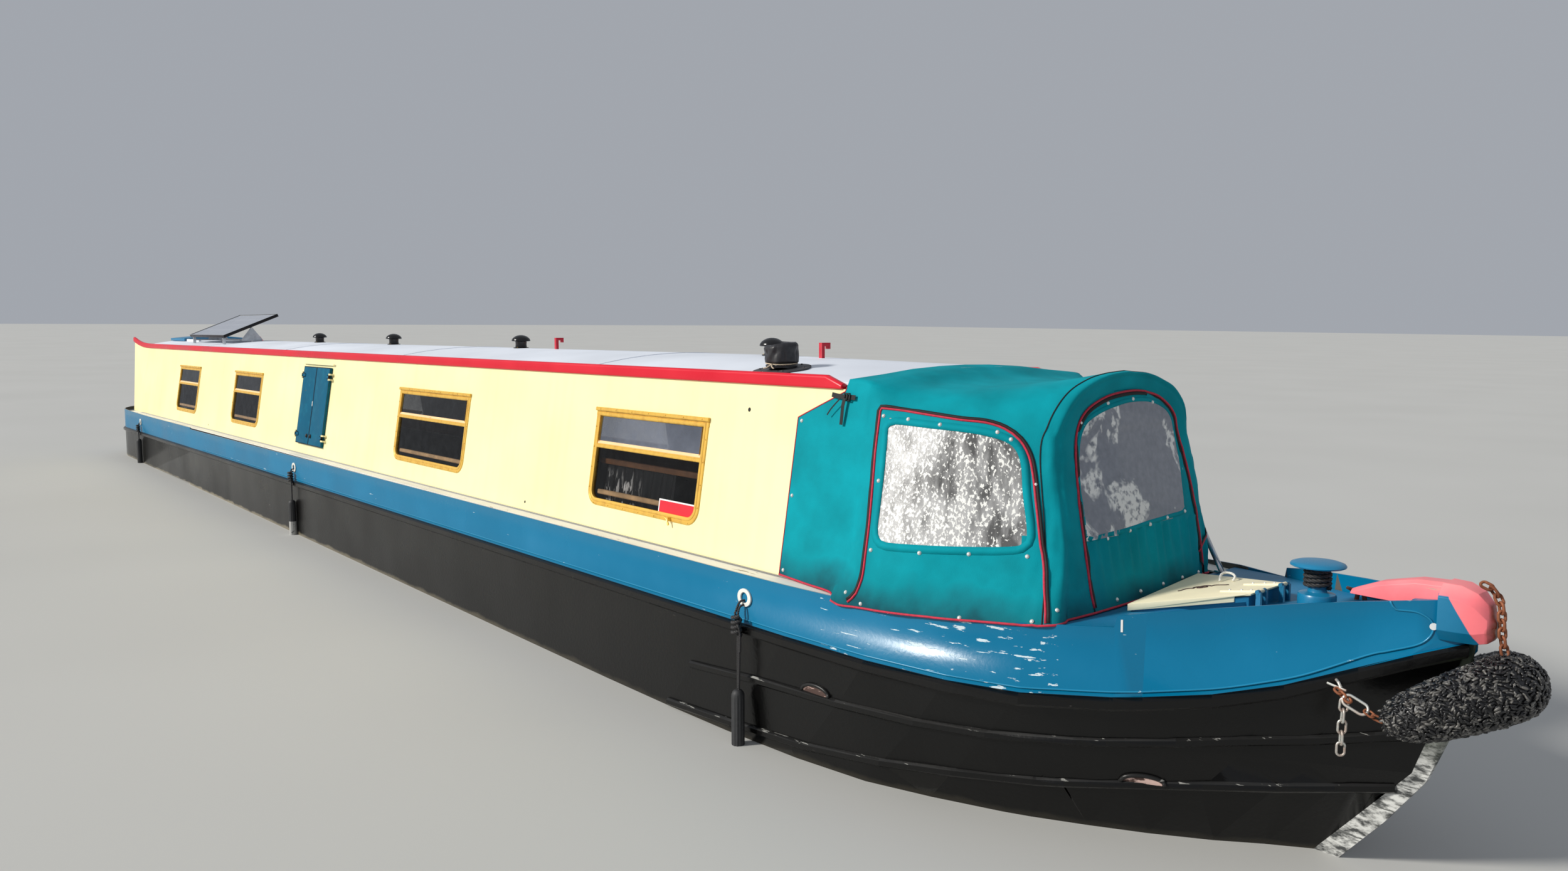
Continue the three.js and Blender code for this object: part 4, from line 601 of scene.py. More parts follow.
dress("counter_plate", "counter_deck", gritty("gritty_counter", (44, 47, 50), (64, 66, 66)), "dark_deck")
deck_blue = gritty("sanded_blue", BLUE, (36, 120, 164))
LID_SPAN = (7.731, 8.213)
LID_FORE_EDGE = 8.1895
STRAP_AT, STRAP_HALF, STRAP_OVER_DECK = 0.095, 0.0165, 0.0665


def foredeck_z(x):
    """The height of the foredeck, which climbs toward the stem."""
    return 1.219 + 0.105 * (x - 7.6)


def splayed(mesh, coaming=False):
    """The locker's lid and coaming as built: wider and lower aft, and skewed with the cover's hem. The hinges keep
    their place."""
    for v in mesh.vertices:
        x, y, z = v.co
        over_deck = z - foredeck_z(x)
        if x > LID_FORE_EDGE or (coaming and (x < LID_SPAN[0] - 0.01 or abs(y) > 0.29 or over_deck < -0.002)):
            continue
        ahead = (x - LID_SPAN[0]) / (LID_SPAN[1] - LID_SPAN[0])
        v.co.z = z - min(0.032, max(0.0, 0.85 * over_deck - 0.002)) * (1 - ahead)
        strap = not coaming and x > 8.035 and over_deck > STRAP_OVER_DECK and abs(abs(y) - STRAP_AT) < STRAP_HALF
        if not strap:
            v.co.y = y * (1.33 - 0.55 * ahead)
            v.co.x = x - 0.16 * v.co.y * (1 - ahead)
    return mesh


fit("foredeck_plate", splayed(copied("foredeck"), coaming=True), deck_blue, replaces=["foredeck"])


# Cratch cover. One teal acrylic canvas sheet over the fore well, from the cabin's front to the hoop and down to
# the foredeck, sewn with clear vinyl panes, red piping along its zips, press-studs, and two straps at the rails.
def spline(points, counts, slack=1.0):
    """Points on a curve through the given ones, with so many from each to the next; no slack makes it straight."""
    points = [Vector(p) for p in points]
    ends = [points[0] * 2 - points[1], *points, points[-1] * 2 - points[-2]]
    made = []
    for (a, b, c, d), count in zip(zip(ends, ends[1:], ends[2:], ends[3:]), counts):
        for k in range(count):
            t = k / count
            made.append(b.lerp(c, t).lerp(curve_point(a, b, c, d, t), slack))
    return [*made, points[-1]]


COVER_ROWS = (
    # from the cabin forward; each from the hem, up one side and over to the crown: place, half width, height
    ((6.272, .944, 1.217), (6.272, .9066, 1.45), (6.272, .825, 1.96), (6.575, .8036, 2.094), (6.59, .792, 2.15),
     (6.59, .57, 2.168), (6.59, .38, 2.187), (6.59, .19, 2.197), (6.59, 0, 2.2005)),
    ((6.49, .968, 1.212), (6.49, .907, 1.45), (6.49, .825, 1.96), (6.64, .8036, 2.094), (6.65, .792, 2.148),
     (6.65, .57, 2.166), (6.65, .38, 2.185), (6.65, .19, 2.195), (6.65, 0, 2.1985)),
    ((6.69, .998, 1.211), (6.706, .9066, 1.45), (6.706, .825, 1.96), (6.706, .8036, 2.094), (6.706, .79, 2.142),
     (6.706, .57, 2.162), (6.706, .38, 2.18), (6.706, .19, 2.188), (6.706, 0, 2.191)),
    ((6.745, 1.03, 1.178), (6.75, .922, 1.45), (6.75, .824, 1.96), (6.75, .795, 2.08), (6.75, .765, 2.128),
     (6.75, .57, 2.152), (6.75, .38, 2.168), (6.75, .19, 2.174), (6.75, 0, 2.176)),
    ((6.88, 1.024, 1.184), (6.88, .968, 1.45), (6.88, .814, 1.95), (6.88, .758, 2.046), (6.88, .69, 2.096),
     (6.88, .57, 2.122), (6.88, .39, 2.134), (6.88, .2, 2.137), (6.88, 0, 2.138)),
    ((7.18, .984, 1.201), (7.18, .9, 1.45), (7.18, .724, 1.93), (7.18, .664, 2.03), (7.18, .592, 2.084),
     (7.18, .48, 2.116), (7.18, .34, 2.13), (7.18, .17, 2.137), (7.18, 0, 2.139)),
    ((7.7, .822, 1.236), (7.588, .655, 1.48), (7.484, .566, 1.86), (7.488, .525, 1.98), (7.492, .47, 2.055),
     (7.496, .39, 2.116), (7.498, .27, 2.16), (7.5, .14, 2.186), (7.5, 0, 2.196)),
    ((7.716, .66, 1.236), (7.636, .56, 1.49), (7.534, .5, 1.86), (7.53, .464, 1.98), (7.526, .404, 2.055),
     (7.524, .32, 2.106), (7.522, .216, 2.14), (7.522, .11, 2.16), (7.522, 0, 2.166)),
    ((7.722, .505, 1.236), (7.64, .465, 1.49), (7.536, .405, 1.86), (7.52, .375, 1.975), (7.514, .32, 2.036),
     (7.512, .24, 2.076), (7.51, .16, 2.098), (7.51, .08, 2.108), (7.51, 0, 2.11)),
)
ROWS_BETWEEN = (9, 9, 3, 7, 15, 20, 12, 10)
COLUMNS_BETWEEN = (12, 16, 6, 3, 6, 5, 5, 5)
FRONT_ACROSS = 44
TAUT_ROWS = 19
GUNWALE = 1.204
fold = noise.noise


def cover_grid():
    """The canvas from cabin to hoop, and the front panel between the two sides of its last row."""
    halves = [spline(row, COLUMNS_BETWEEN, 0.0 if i < 3 else 1.0) for i, row in enumerate(COVER_ROWS)]
    columns = [spline(stations, ROWS_BETWEEN) for stations in zip(*halves)]
    half = len(columns)
    columns = [[Vector((p.x, -p.y, p.z)) for p in line] for line in columns] + [list(line) for line in columns[-2::-1]]
    rows = [list(row) for row in zip(*columns)]
    for i, row in enumerate(rows):
        for j, p in enumerate(row):
            low = max(0.0, min(1.0, (1.8 - p.z) / 0.55))
            if i > TAUT_ROWS and p.z < GUNWALE + 0.06 and 6.72 < p.x < 7.71:
                edge = abs(on_skin(p.x, 1.19)[0].y) + 0.012 - 0.5 * max(0.0, p.z - GUNWALE - 0.005)
                p.y = copysign(max(abs(p.y), edge), p.y)
            if p.y > 0 and p.x > 7.22:
                ahead, wide = min(1.0, (p.x - 7.22) / 0.3), max(0.0, min(1.0, (p.y - 0.4) / 0.4))
                slim = 0.09 * max(0.0, min(1.0, (p.y - 0.45) / 0.12)) + 0.2 * low * low * wide
                p.x -= ahead * low * low * (0.05 + 0.08 * wide)
                p.y *= 1 - ahead * slim
                if p.z < 1.24 and p.y < abs(on_skin(min(p.x, 7.7), 1.19)[0].y) + 0.006:
                    p.z = max(p.z, foredeck_z(p.x) + 0.007)
    verts = [p for row in rows for p in row]
    across = len(columns)
    faces = woven(len(rows), across, round_it=False)
    start = (len(rows) - 1) * across
    above = None
    for j in range(half):
        left, right = start + j, start + across - 1 - j
        if left == right:
            line = [left]
        else:
            line, a, b = [left], verts[left], verts[right]
            for k in range(1, FRONT_ACROSS):
                share = k / FRONT_ACROSS
                swell = 0.016 * sin(pi * share) * min(1.0, (b.y - a.y) / 0.8)
                line.append(len(verts))
                verts.append(a.lerp(b, share) + Vector((swell, 0, 0)))
            line.append(right)
        if above:
            if len(line) == 1:
                faces += [(above[k], above[k + 1], line[0]) for k in range(FRONT_ACROSS)]
            else:
                faces += [(above[k], above[k + 1], line[k + 1], line[k]) for k in range(FRONT_ACROSS)]
        above = line
    return verts, faces, len(rows), across


cover_verts, cover_faces, cover_rows, cover_across = cover_grid()


def pleat(p):
    """How far the canvas stands off its plain shape: folds on the hoop band, pleats under the front pane, and
    soft wrinkles that gather toward the hem."""
    low = max(0.0, min(1.0, (1.62 - p.z) / 0.4))
    soft = 0.007 * fold(p * 2.6) + 0.0028 * fold(Vector((p.x * 9, p.y * 9, p.z * 5)))
    hang = low * 0.0045 * fold(Vector((p.x * 26, p.y * 26, p.z * 4)))
    if p.x < 6.73:
        return max(0.0, 0.3 * soft) + 0.0007
    front = p.x > 7.5 and abs(p.y) < 0.47 and p.z < 1.53
    if front:
        down = max(0.0, min(1.0, (p.z - 1.26) / 0.24))
        hang += 0.01 * down * cos(p.y * tau / 0.072 + 1.4 * fold(Vector((p.y * 6, 0, p.z))))
    off_band = p.x - 7.605 - (1.49 - p.z) * 0.19
    band = exp(-(off_band / 0.045) ** 2) if abs(p.y) > 0.42 and p.z < 2.0 else 0.0
    hang += band * (0.016 * fold(Vector((off_band * 34, 1.7, p.z * 2.6))) + 0.005 * fold(p * 24))
    sag = -0.01 * exp(-((p.z - 2.02) / 0.1) ** 2) * exp(-((p.x - 7.06) / 0.22) ** 2)
    return soft + hang + sag


cover_shape = mesh_of("cratch_canvas", cover_verts, cover_faces)
plain_normals = [Vector(v.normal) for v in cover_shape.vertices]
turned_in = sum(n.dot(v.co - Vector((7.0, 0, 1.5))) for n, v in zip(plain_normals, cover_shape.vertices)) < 0
if turned_in:
    cover_shape.flip_normals()
    plain_normals = [-n for n in plain_normals]
for v, n in zip(cover_shape.vertices, plain_normals):
    v.co = v.co + n * pleat(v.co)
canvas_skin = skin_of(cover_shape)


def on_canvas(first, second, front=False, side=-1):
    """The canvas's outside at a place along and height on its side, or at a place across and height on its front."""
    if front:
        point, normal, _, _ = canvas_skin.ray_cast(Vector((9.0, first, second)), Vector((-1, 0, 0)))
        return point, normal if normal.x > 0 else -normal
    point, normal, _, _ = canvas_skin.ray_cast(Vector((first, side * 2.0, second)), Vector((0, -side, 0)))
    if point is None or point.y * side < 0.3:
        return None, None
    return point, normal if normal.y * side > 0 else -normal


def outline_on_canvas(outline, step, lift, closed=False, front=False, side=-1):
    """An outline of place and height pairs laid on the canvas, a step at a time."""
    flat = [(a, 0.0, b) for a, b in outline]
    flat = smooth_path([*flat, flat[0]] if closed else flat, step)
    laid = []
    for a, _, b in flat[:-1] if closed else flat:
        found = on_canvas(a, b, front, side)
        if found[0] is not None:
            laid.append((found[0] + found[1] * lift, found[1]))
    return laid


def ribbon(rows, inner, outer, thick):
    """A flat strip that follows points with their normals, from inner to outer across, and thick."""
    points = [p for p, _ in rows]
    ring = (points[0] - points[-1]).length < 3 * (points[1] - points[0]).length
    verts, count = [], len(rows)
    for i, (p, n) in enumerate(rows):
        ahead = (points[(i + 1) % count] - points[i - 1]) if ring or 0 < i < count - 1 else (
            points[min(i + 1, count - 1)] - points[max(i - 1, 0)])
        across = ahead.cross(n).normalized()
        verts += [p + across * inner, p + across * inner + n * thick, p + across * outer + n * thick,
                  p + across * outer]
    faces = woven(count, 4, ring=ring)
    if not ring:
        faces += caps(4, 4 * count)
    return verts, faces


def inside(outline, a, b):
    hit = False
    for (a0, b0), (a1, b1) in zip(outline, [*outline[1:], outline[0]]):
        if (b0 > b) != (b1 > b) and a < a0 + (b - b0) * (a1 - a0) / (b1 - b0):
            hit = not hit
    return hit


SIDE_PANE = ((6.859, 1.945), (6.888, 1.963), (7.045, 1.955), (7.19, 1.946), (7.281, 1.933), (7.353, 1.912),
             (7.397, 1.879), (7.427, 1.819), (7.451, 1.724), (7.475, 1.649), (7.5, 1.576), (7.512, 1.525),
             (7.495, 1.505), (7.415, 1.494), (7.263, 1.485), (7.114, 1.479), (6.982, 1.475), (6.942, 1.489),
             (6.924, 1.529), (6.914, 1.609), (6.895, 1.748), (6.876, 1.869))
FRONT_PANE = ((-.434, 1.538), (-.42, 1.602), (-.415, 1.698), (-.394, 1.793), (-.369, 1.859), (-.338, 1.927),
              (-.303, 1.975), (-.236, 2.008), (-.128, 2.037), (.005, 2.057), (.162, 2.054), (.275, 2.027), (.335, 1.99),
              (.365, 1.925), (.372, 1.796), (.352, 1.67), (.341, 1.589), (.318, 1.56), (.18, 1.553), (.012, 1.547),
              (-.177, 1.534), (-.314, 1.529), (-.398, 1.523))
panes = {"starboard": [], "port": [], "front": []}
kept_faces = []
for poly in cover_shape.polygons:
    corners = [cover_shape.vertices[i].co for i in poly.vertices]
    middle = poly.center
    if middle.x > 7.49 and abs(middle.y) < 0.47 and any(inside(FRONT_PANE, c.y, c.z) for c in corners):
        panes["front"].append(tuple(poly.vertices))
    elif abs(middle.y) > 0.5 and 6.8 < middle.x < 7.5 and any(inside(SIDE_PANE, c.x, c.z) for c in corners):
        panes["starboard" if middle.y < 0 else "port"].append(tuple(poly.vertices))
    else:
        kept_faces.append(tuple(poly.vertices))


def part_of(name, faces, inset=0.0):
    """Some faces of the canvas as a mesh of their own, set in by a little."""
    used = sorted({i for face in faces for i in face})
    index = {i: k for k, i in enumerate(used)}
    points = [cover_shape.vertices[i].co - cover_shape.vertices[i].normal * inset for i in used]
    return mesh_of(name, points, [tuple(index[i] for i in face) for face in faces])


def canvas_look(tree, shader, place):
    parts = axes(tree, place)
    patches = mottle(tree, place, 5.0, 6.0)
    tone = ramp(tree, patches, 0.32, 0.7)
    teal = blend(tree, tone, (0, 134, 146), (0, 154, 168))
    low = maths(tree, "MULTIPLY_ADD", patches, -0.3, parts["Z"])
    dirt = ramp(tree, low, 1.2, 1.05, 0.0, 0.85)
    soiled = blend(tree, dirt, teal, (20, 62, 72))
    weave = put(tree, "ShaderNodeTexVoronoi", {"Vector": place, "Scale": 420.0})
    creased = mottle(tree, place, 38.0, 3.0)
    height = maths(tree, "MULTIPLY_ADD", creased, 1.6, weave.outputs["Distance"])
    bump = relief(tree, height, 0.3, 0.0015)
    feed(tree, shader, {"Base Color": soiled, "Normal": bump, "Roughness": 0.78, "Specular IOR Level": 0.12})


def dyed(name, colour, roughness=0.7):
    """Woven tape or cord of one colour, a little uneven."""
    def build(tree, shader, place):
        uneven = mottle(tree, place, 60.0, 3.0)
        tone = ramp(tree, uneven, 0.3, 0.7, 0.75, 1.1)
        mixed = blend(tree, 1.0, colour, tone, "MULTIPLY")
        bump = relief(tree, uneven, 0.3, 0.001)
        feed(tree, shader, {"Base Color": mixed, "Normal": bump, "Roughness": roughness})
    return material(name, build)


def side_vinyl_look(tree, shader, place):
    """Clear vinyl gone cloudy: pale haze in upright streaks and patches, with small painted glints of light all over.
    """
    drawn = drawn_out(tree, place, (1.0, 1.0, 0.55))
    flecks = mottle(tree, drawn, 95.0, 2.0, Roughness=0.6)
    hanging = drawn_out(tree, place, (9.0, 9.0, 1.3), (0, 0.22, 0))
    streaks = mottle(tree, hanging, 2.6, 4.0)
    clouds = mottle(tree, place, 3.6, 2.0)
    haze = maths(tree, "MULTIPLY_ADD", streaks, 1.0, clouds)
    tone = ramp(tree, haze, 0.76, 1.1)
    lifted = maths(tree, "MULTIPLY_ADD", haze, 0.22, flecks)
    painted_glint = ramp(tree, lifted, 0.765, 0.8)
    grey = blend(tree, tone, (96, 96, 96), (190, 190, 190))
    colour = blend(tree, painted_glint, grey, (255, 255, 250))
    bump = relief(tree, lifted, 0.4, 0.004)
    feed(tree, shader,
         {"Base Color": colour, "Normal": bump, "Alpha": 0.92, "Specular IOR Level": 0.25, "Roughness": 0.34,
          "Metallic": 0.0})


def front_vinyl_look(tree, shader, place):
    """The front pane is clearer: an even grey see-through with a few large pale patches and streaks."""
    clouds = mottle(tree, place, 3.1, 4.0, Roughness=0.6, Distortion=0.8)
    patch = ramp(tree, clouds, 0.545, 0.58)
    fine = mottle(tree, place, 34.0, 4.0)
    broken = ramp(tree, fine, 0.34, 0.5)
    pale = maths(tree, "MULTIPLY", patch, broken)
    grey = blend(tree, fine, (128, 132, 142), (166, 170, 180))
    colour = blend(tree, pale, grey, (236, 236, 232))
    seen = ramp(tree, pale, 0.0, 1.0, 0.8, 0.95)
    bump = relief(tree, clouds, 0.4, 0.01)
    feed(tree, shader, {"Base Color": colour, "Alpha": seen, "Normal": bump, "Roughness": 0.14, "Metallic": 0.0})


teal_canvas = material("teal_canvas", canvas_look)
side_vinyl, front_vinyl = material("side_vinyl", side_vinyl_look), material("front_vinyl", front_vinyl_look)
red_tape, black_tape = dyed("red_tape", (196, 40, 66)), dyed("black_tape", (16, 16, 18))
canvas = fit("cratch_canvas", part_of("cratch_canvas", kept_faces), teal_canvas,
             replaces=["cratch_cover"])


def sew(name, mesh, finish):
    fit(name, mesh, finish)


for where, faces in panes.items():
    sew(f"pane_{where}", part_of(f"pane_{where}", faces, 0.0012), front_vinyl if where == "front" else side_vinyl)
    front, side = where == "front", 1 if where == "port" else -1
    rows = outline_on_canvas(FRONT_PANE if front else SIDE_PANE, 0.018, 0.0003, closed=True, front=front, side=side)
    wide = 0.019 if front else 0.034
    middle = sum((p for p, _ in rows), Vector()) / len(rows)
    outward = (rows[1][0] - rows[0][0]).cross(rows[0][1]).dot(rows[0][0] - middle)
    outer = -wide if outward < 0 else wide
    sew(f"pane_edge_{where}", mesh_of("edge", *ribbon(rows, 0, outer, 0.0012)), teal_canvas)

SIDE_PIPING = ((6.826, 1.199), (6.843, 1.214), (6.866, 1.242), (6.889, 1.307), (6.891, 1.385), (6.877, 1.524),
               (6.848, 1.703), (6.818, 1.865), (6.797, 2.017), (6.801, 2.029), (6.908, 2.021), (7.068, 2.005),
               (7.174, 1.994), (7.266, 1.987), (7.341, 1.964), (7.401, 1.922), (7.446, 1.858), (7.475, 1.782),
               (7.515, 1.651), (7.566, 1.506), (7.624, 1.387), (7.671, 1.308), (7.707, 1.243))
FRONT_PIPING = ((-.5, 1.255), (-.496, 1.328), (-.469, 1.474), (-.452, 1.605), (-.427, 1.737), (-.401, 1.852),
                (-.376, 1.929), (-.347, 1.987), (-.276, 2.044), (-.157, 2.086), (-.019, 2.105), (.118, 2.104),
                (.245, 2.08), (.335, 2.035), (.385, 1.985), (.402, 1.924), (.42, 1.804), (.434, 1.662), (.444, 1.508),
                (.452, 1.387), (.46, 1.294), (.462, 1.256))
for where, side in (("starboard", -1), ("port", 1)):
    rows = outline_on_canvas(SIDE_PIPING, 0.03, 0.0015, side=side)
    sew(f"piping_{where}", mesh_of("piping", *tube([p for p, _ in rows], 0.0052, 8)), red_tape)
    spread = -0.0115 if side < 0 else 0.0115
    sew(f"zip_{where}", mesh_of("zip", *ribbon(rows, spread - 0.0062, spread + 0.0062, 0.0022)), black_tape)
    aft_edge = [cover_shape.vertices[j if side < 0 else cover_across - 1 - j].co for j in range(0, 36)]
    sew(f"aft_binding_{where}", mesh_of("binding", *tube(aft_edge, 0.0032, 6)), red_tape)
rows = outline_on_canvas(FRONT_PIPING, 0.025, 0.002, front=True)
sew("piping_front", mesh_of("piping", *tube([p for p, _ in rows], 0.0052, 8)), red_tape)
sew("zip_front", mesh_of("zip", *ribbon(rows, 0.006, 0.02, 0.0022)), black_tape)
hem = [cover_shape.vertices[i * cover_across].co for i in range(cover_rows)]
front_hem = [cover_shape.vertices[i].co
             for i in range(cover_rows * cover_across, cover_rows * cover_across + FRONT_ACROSS - 1)]
far_hem = [cover_shape.vertices[i * cover_across + cover_across - 1].co for i in range(cover_rows - 1, -1, -1)]
sew("hem_piping", mesh_of("hem", *tube([*hem, *front_hem, *far_hem], 0.0048, 8)), red_tape)
HOOP_SEAM = sum(ROWS_BETWEEN[:6])
seam = [cover_shape.vertices[HOOP_SEAM * cover_across + j] for j in range(cover_across)]
sew("hoop_seam", mesh_of("seam", *tube([v.co + v.normal * 0.001 for v in seam], 0.0028, 6)), black_tape)


# Press-studs and screws. Small turned heads of plated brass or steel, pressed through the canvas in pairs with
# their sockets, or driven through a frame.
def first(tree, kind, inputs=None, **settings):
    """What a new node gives first."""
    return put(tree, kind, inputs, **settings).outputs[0]


def geometry_tree(name, sockets, build):
    """A modifier's tree with a mesh in and out and named values, whose build function gives the geometry."""
    tree = bpy.data.node_groups.new(name, "GeometryNodeTree")
    tree.interface.new_socket("Geometry", in_out="INPUT", socket_type="NodeSocketGeometry")
    for label, kind in sockets:
        tree.interface.new_socket(label, in_out="INPUT", socket_type="NodeSocket" + kind)
    tree.interface.new_socket("Geometry", in_out="OUTPUT", socket_type="NodeSocketGeometry")
    given = tree.nodes.new("NodeGroupInput").outputs
    real = first(tree, "GeometryNodeRealizeInstances", {0: build(tree, given)})
    coated = first(tree, "GeometryNodeSetMaterial", {"Geometry": real, "Material": given["Finish"]})
    tree.links.new(coated, tree.nodes.new("NodeGroupOutput").inputs[0])
    return tree


def grown(name, seed_mesh, tree, values):
    """The mesh that a modifier's tree grows on a seed mesh, with its named values set."""
    holder = bpy.data.objects.new(name, seed_mesh)
    world_objects.link(holder)
    modifier = holder.modifiers.new(name, "NODES")
    modifier.node_group = tree
    for item in tree.interface.items_tree:
        if item.in_out == "INPUT" and item.name in values:
            modifier[item.identifier] = values[item.name]
    holder.update_tag()
    bpy.context.view_layer.update()
    made = bpy.data.meshes.new_from_object(holder.evaluated_get(bpy.context.evaluated_depsgraph_get()))
    made.name = name
    made.materials.clear()
    bpy.data.objects.remove(holder)
    return made


def aimed(tree, axis):
    """A turn that points one axis of a piece the way that its point says."""
    aim = first(tree, "GeometryNodeInputNamedAttribute", {"Name": "aim"}, data_type="FLOAT_VECTOR")
    return first(tree, "FunctionNodeAlignRotationToVector", {"Vector": aim}, axis=axis)


def set_out(tree, given, shape, turn, size=(1.0, 1.0, 1.0)):
    """A smooth copy of a shape at each point."""
    inputs = {"Points": first(tree, "GeometryNodeMeshToPoints", {0: given["Geometry"]}),
              "Instance": first(tree, "GeometryNodeSetShadeSmooth", {0: shape}),
              "Rotation": turn, "Scale": size}
    return first(tree, "GeometryNodeInstanceOnPoints", inputs)


def heads(tree, given):
    disc = first(tree, "GeometryNodeMeshCylinder", {"Vertices": 12, "Radius": 1.0, "Depth": 0.5})
    dome = first(tree, "GeometryNodeMeshUVSphere", {"Segments": 12, "Rings": 6, "Radius": 1.0})
    low = first(tree, "GeometryNodeTransform",
                {"Geometry": dome, "Translation": (0, 0, 0.2), "Scale": (0.84, 0.84, 0.62)})
    both = put(tree, "GeometryNodeJoinGeometry")
    tree.links.new(disc, both.inputs[0])
    tree.links.new(low, both.inputs[0])
    return set_out(tree, given, both.outputs[0], aimed(tree, "Z"), given["Radius"])


heads_tree = geometry_tree("pressed_heads", [("Radius", "Float"), ("Finish", "Material")], heads)


def seeds(name, spots, aims):
    """Loose points that each carry the way their piece faces."""
    mesh = bpy.data.meshes.new(name)
    mesh.from_pydata([tuple(p) for p in spots], [], [])
    faced = mesh.attributes.new("aim", "FLOAT_VECTOR", "POINT")
    faced.data.foreach_set("vector", [part for aim in aims for part in aim])
    return mesh


def fasteners(name, spots, radius, finish, body="boat"):
    """One mesh of heads at points, each with the way it faces."""
    seed = seeds(name, *zip(*spots))
    return fit(name, grown(name, seed, heads_tree, {"Radius": radius, "Finish": finish}), finish, body)


def metal(name, colour, roughness, spots=None, tarnish=0.35, metallic=1.0):
    """Bare or plated metal, with a darker tarnish that is rougher too."""
    def build(tree, shader, place):
        patches = mottle(tree, place, 22.0, 5.0)
        dull = ramp(tree, patches, 0.45, 0.72, 0.0, tarnish)
        mixed = blend(tree, dull, colour, spots or (60, 50, 40))
        rough = maths(tree, "MULTIPLY_ADD", dull, 0.5, roughness, use_clamp=True)
        feed(tree, shader, {"Base Color": mixed, "Roughness": rough, "Metallic": metallic})
    return material(name, build)


stud_white = metal("white_studs", (238, 238, 234), 0.25, tarnish=0.15, metallic=0.4)
SIDE_STUDS = ((6.819, 1.997), (6.939, 1.988), (7.089, 1.972), (7.318, 1.95), (7.372, 1.922), (6.874, 1.722),
              (7.492, 1.745), (6.912, 1.433), (7.143, 1.448), (7.328, 1.459), (7.535, 1.466), (6.3, 1.945),
              (6.296, 1.592), (6.3, 1.242), (6.8, 1.235), (6.9, 1.203), (7.38, 1.222), (7.66, 1.246), (7.715, 1.287))
FRONT_STUDS = ((-.144, 2.061), (.038, 2.072), (.2, 2.05), (-.335, 1.985), (.337, 1.552), (.178, 1.541), (.022, 1.53),
               (-.134, 1.52), (-.312, 1.508), (.41, 1.266), (.24, 1.268), (.06, 1.268), (-.14, 1.268), (-.325, 1.262))
stud_spots = [on_canvas(x, z, side=side) for side in (-1, 1) for x, z in SIDE_STUDS]
stud_spots = [spot for spot in stud_spots if spot[0] is not None]
stud_spots += [on_canvas(y, z, front=True) for y, z in FRONT_STUDS]
fasteners("press_studs", stud_spots, 0.0088, stud_white)

# Cover straps. A black webbing strap from each top corner of the cover to the handrail, through a plastic
# buckle, with its two tails left hanging.
for where, side in (("starboard", -1), ("port", 1)):
    strap_rows = [(Vector((x, side * y, z)), Vector((0, side, 0.15)).normalized())
                  for x, y, z in ((6.5, .818, 2.078), (6.535, .822, 2.074), (6.57, .821, 2.071), (6.61, .82, 2.071),
                                  (6.655, .819, 2.07))]
    long_tail = [(Vector((x, side * y, z)), Vector((0.1, side, 0)).normalized()) for x, y, z in
                 ((6.595, .83, 2.066), (6.59, .836, 2.03), (6.588, .839, 1.99), (6.585, .842, 1.945))]
    short_tail = [(Vector((x, side * y, z)), Vector((0.1, side, 0)).normalized()) for x, y, z in
                  ((6.57, .832, 2.064), (6.545, .838, 2.04), (6.515, .841, 2.012), (6.492, .842, 1.985))]
    webbing = joined(ribbon(strap_rows, -0.011, 0.011, 0.0015), ribbon(long_tail, -0.009, 0.009, 0.0015),
                     ribbon(short_tail, -0.003, 0.003, 0.0015))
    sew(f"strap_{where}", mesh_of("strap", *webbing, smooth=False), black_tape)
    frame_bars = [tube([(x, side * .825, 2.055), (x, side * .823, 2.087)], 0.0035, 6) for x in (6.59, 6.607, 6.624)]
    frame_bars += [tube([(6.588, side * .824, z), (6.626, side * .824, z)], 0.0035, 6) for z in (2.055, 2.087)]
    sew(f"buckle_{where}", mesh_of("buckle", *joined(*frame_bars)), black_tape)
work = bmesh.new()
work.from_mesh(canvas.data)
cover_area = sum(face.calc_area() for face in work.faces)
work.free()


# Cabin sides. Steel plate that leans in, brush-painted pale cream over old vertical streaks, lined inside with
# varnished ply; the stern end sweeps up and out. Small fixings and a vent hole show on the starboard side.
SIDE_SIN, SIDE_COS = 0.15799, 0.98744
CABIN_HALF, CABIN_FOOT = 0.94, 1.2043 + 0.02 * SIDE_SIN


def on_side(x, v, out, side=-1):
    """A point by its place along the cabin, its height up the sloping side and how far it stands out."""
    half = CABIN_HALF - v * SIDE_SIN + out * SIDE_COS
    return Vector((x, side * half, CABIN_FOOT + v * SIDE_COS + out * SIDE_SIN))


def side_normal(side=-1):
    return Vector((0, side * SIDE_COS, SIDE_SIN))


def cream_tint(tree, place, paint):
    drawn = drawn_out(tree, place, (9.0, 1.0, 0.35))
    streaks = mottle(tree, drawn, 1.6, 5.0)
    seen = ramp(tree, streaks, 0.48, 0.8, 0.0, 0.35)
    return blend(tree, seen, paint, (238, 222, 170))


def lining_look(tree, shader, place):
    drawn = drawn_out(tree, place, (1.0, 8.0, 14.0))
    grain = mottle(tree, drawn, 3.0, 6.0)
    colour = blend(tree, grain, (92, 58, 34), (146, 100, 62))
    bump = relief(tree, grain, 0.2, 0.002)
    feed(tree, shader, {"Base Color": colour, "Normal": bump, "Roughness": 0.45})


CREAM = (255, 244, 186)
cream = aged_paint("cream_enamel", CREAM, (236, 216, 168), 0.36, patch=1.4, bump=0.12, tint=cream_tint)
lining = material("varnished_lining", lining_look)
hole_painted_shade = aged_paint("recess_painted_shade", (22, 20, 20), (60, 50, 44), 0.7)


def faces_in(middle, normal):
    return 1 if normal.y * middle.y < -0.02 else 0


for node in ("cabin_side_port", "cabin_side_starboard_aft", "cabin_side_starboard_fore", "side_hatch_sill",
             "side_hatch_head"):
    dress(f"{node}_plate", node, [cream, lining], "cream_enamel", sharp=20, sort=faces_in)


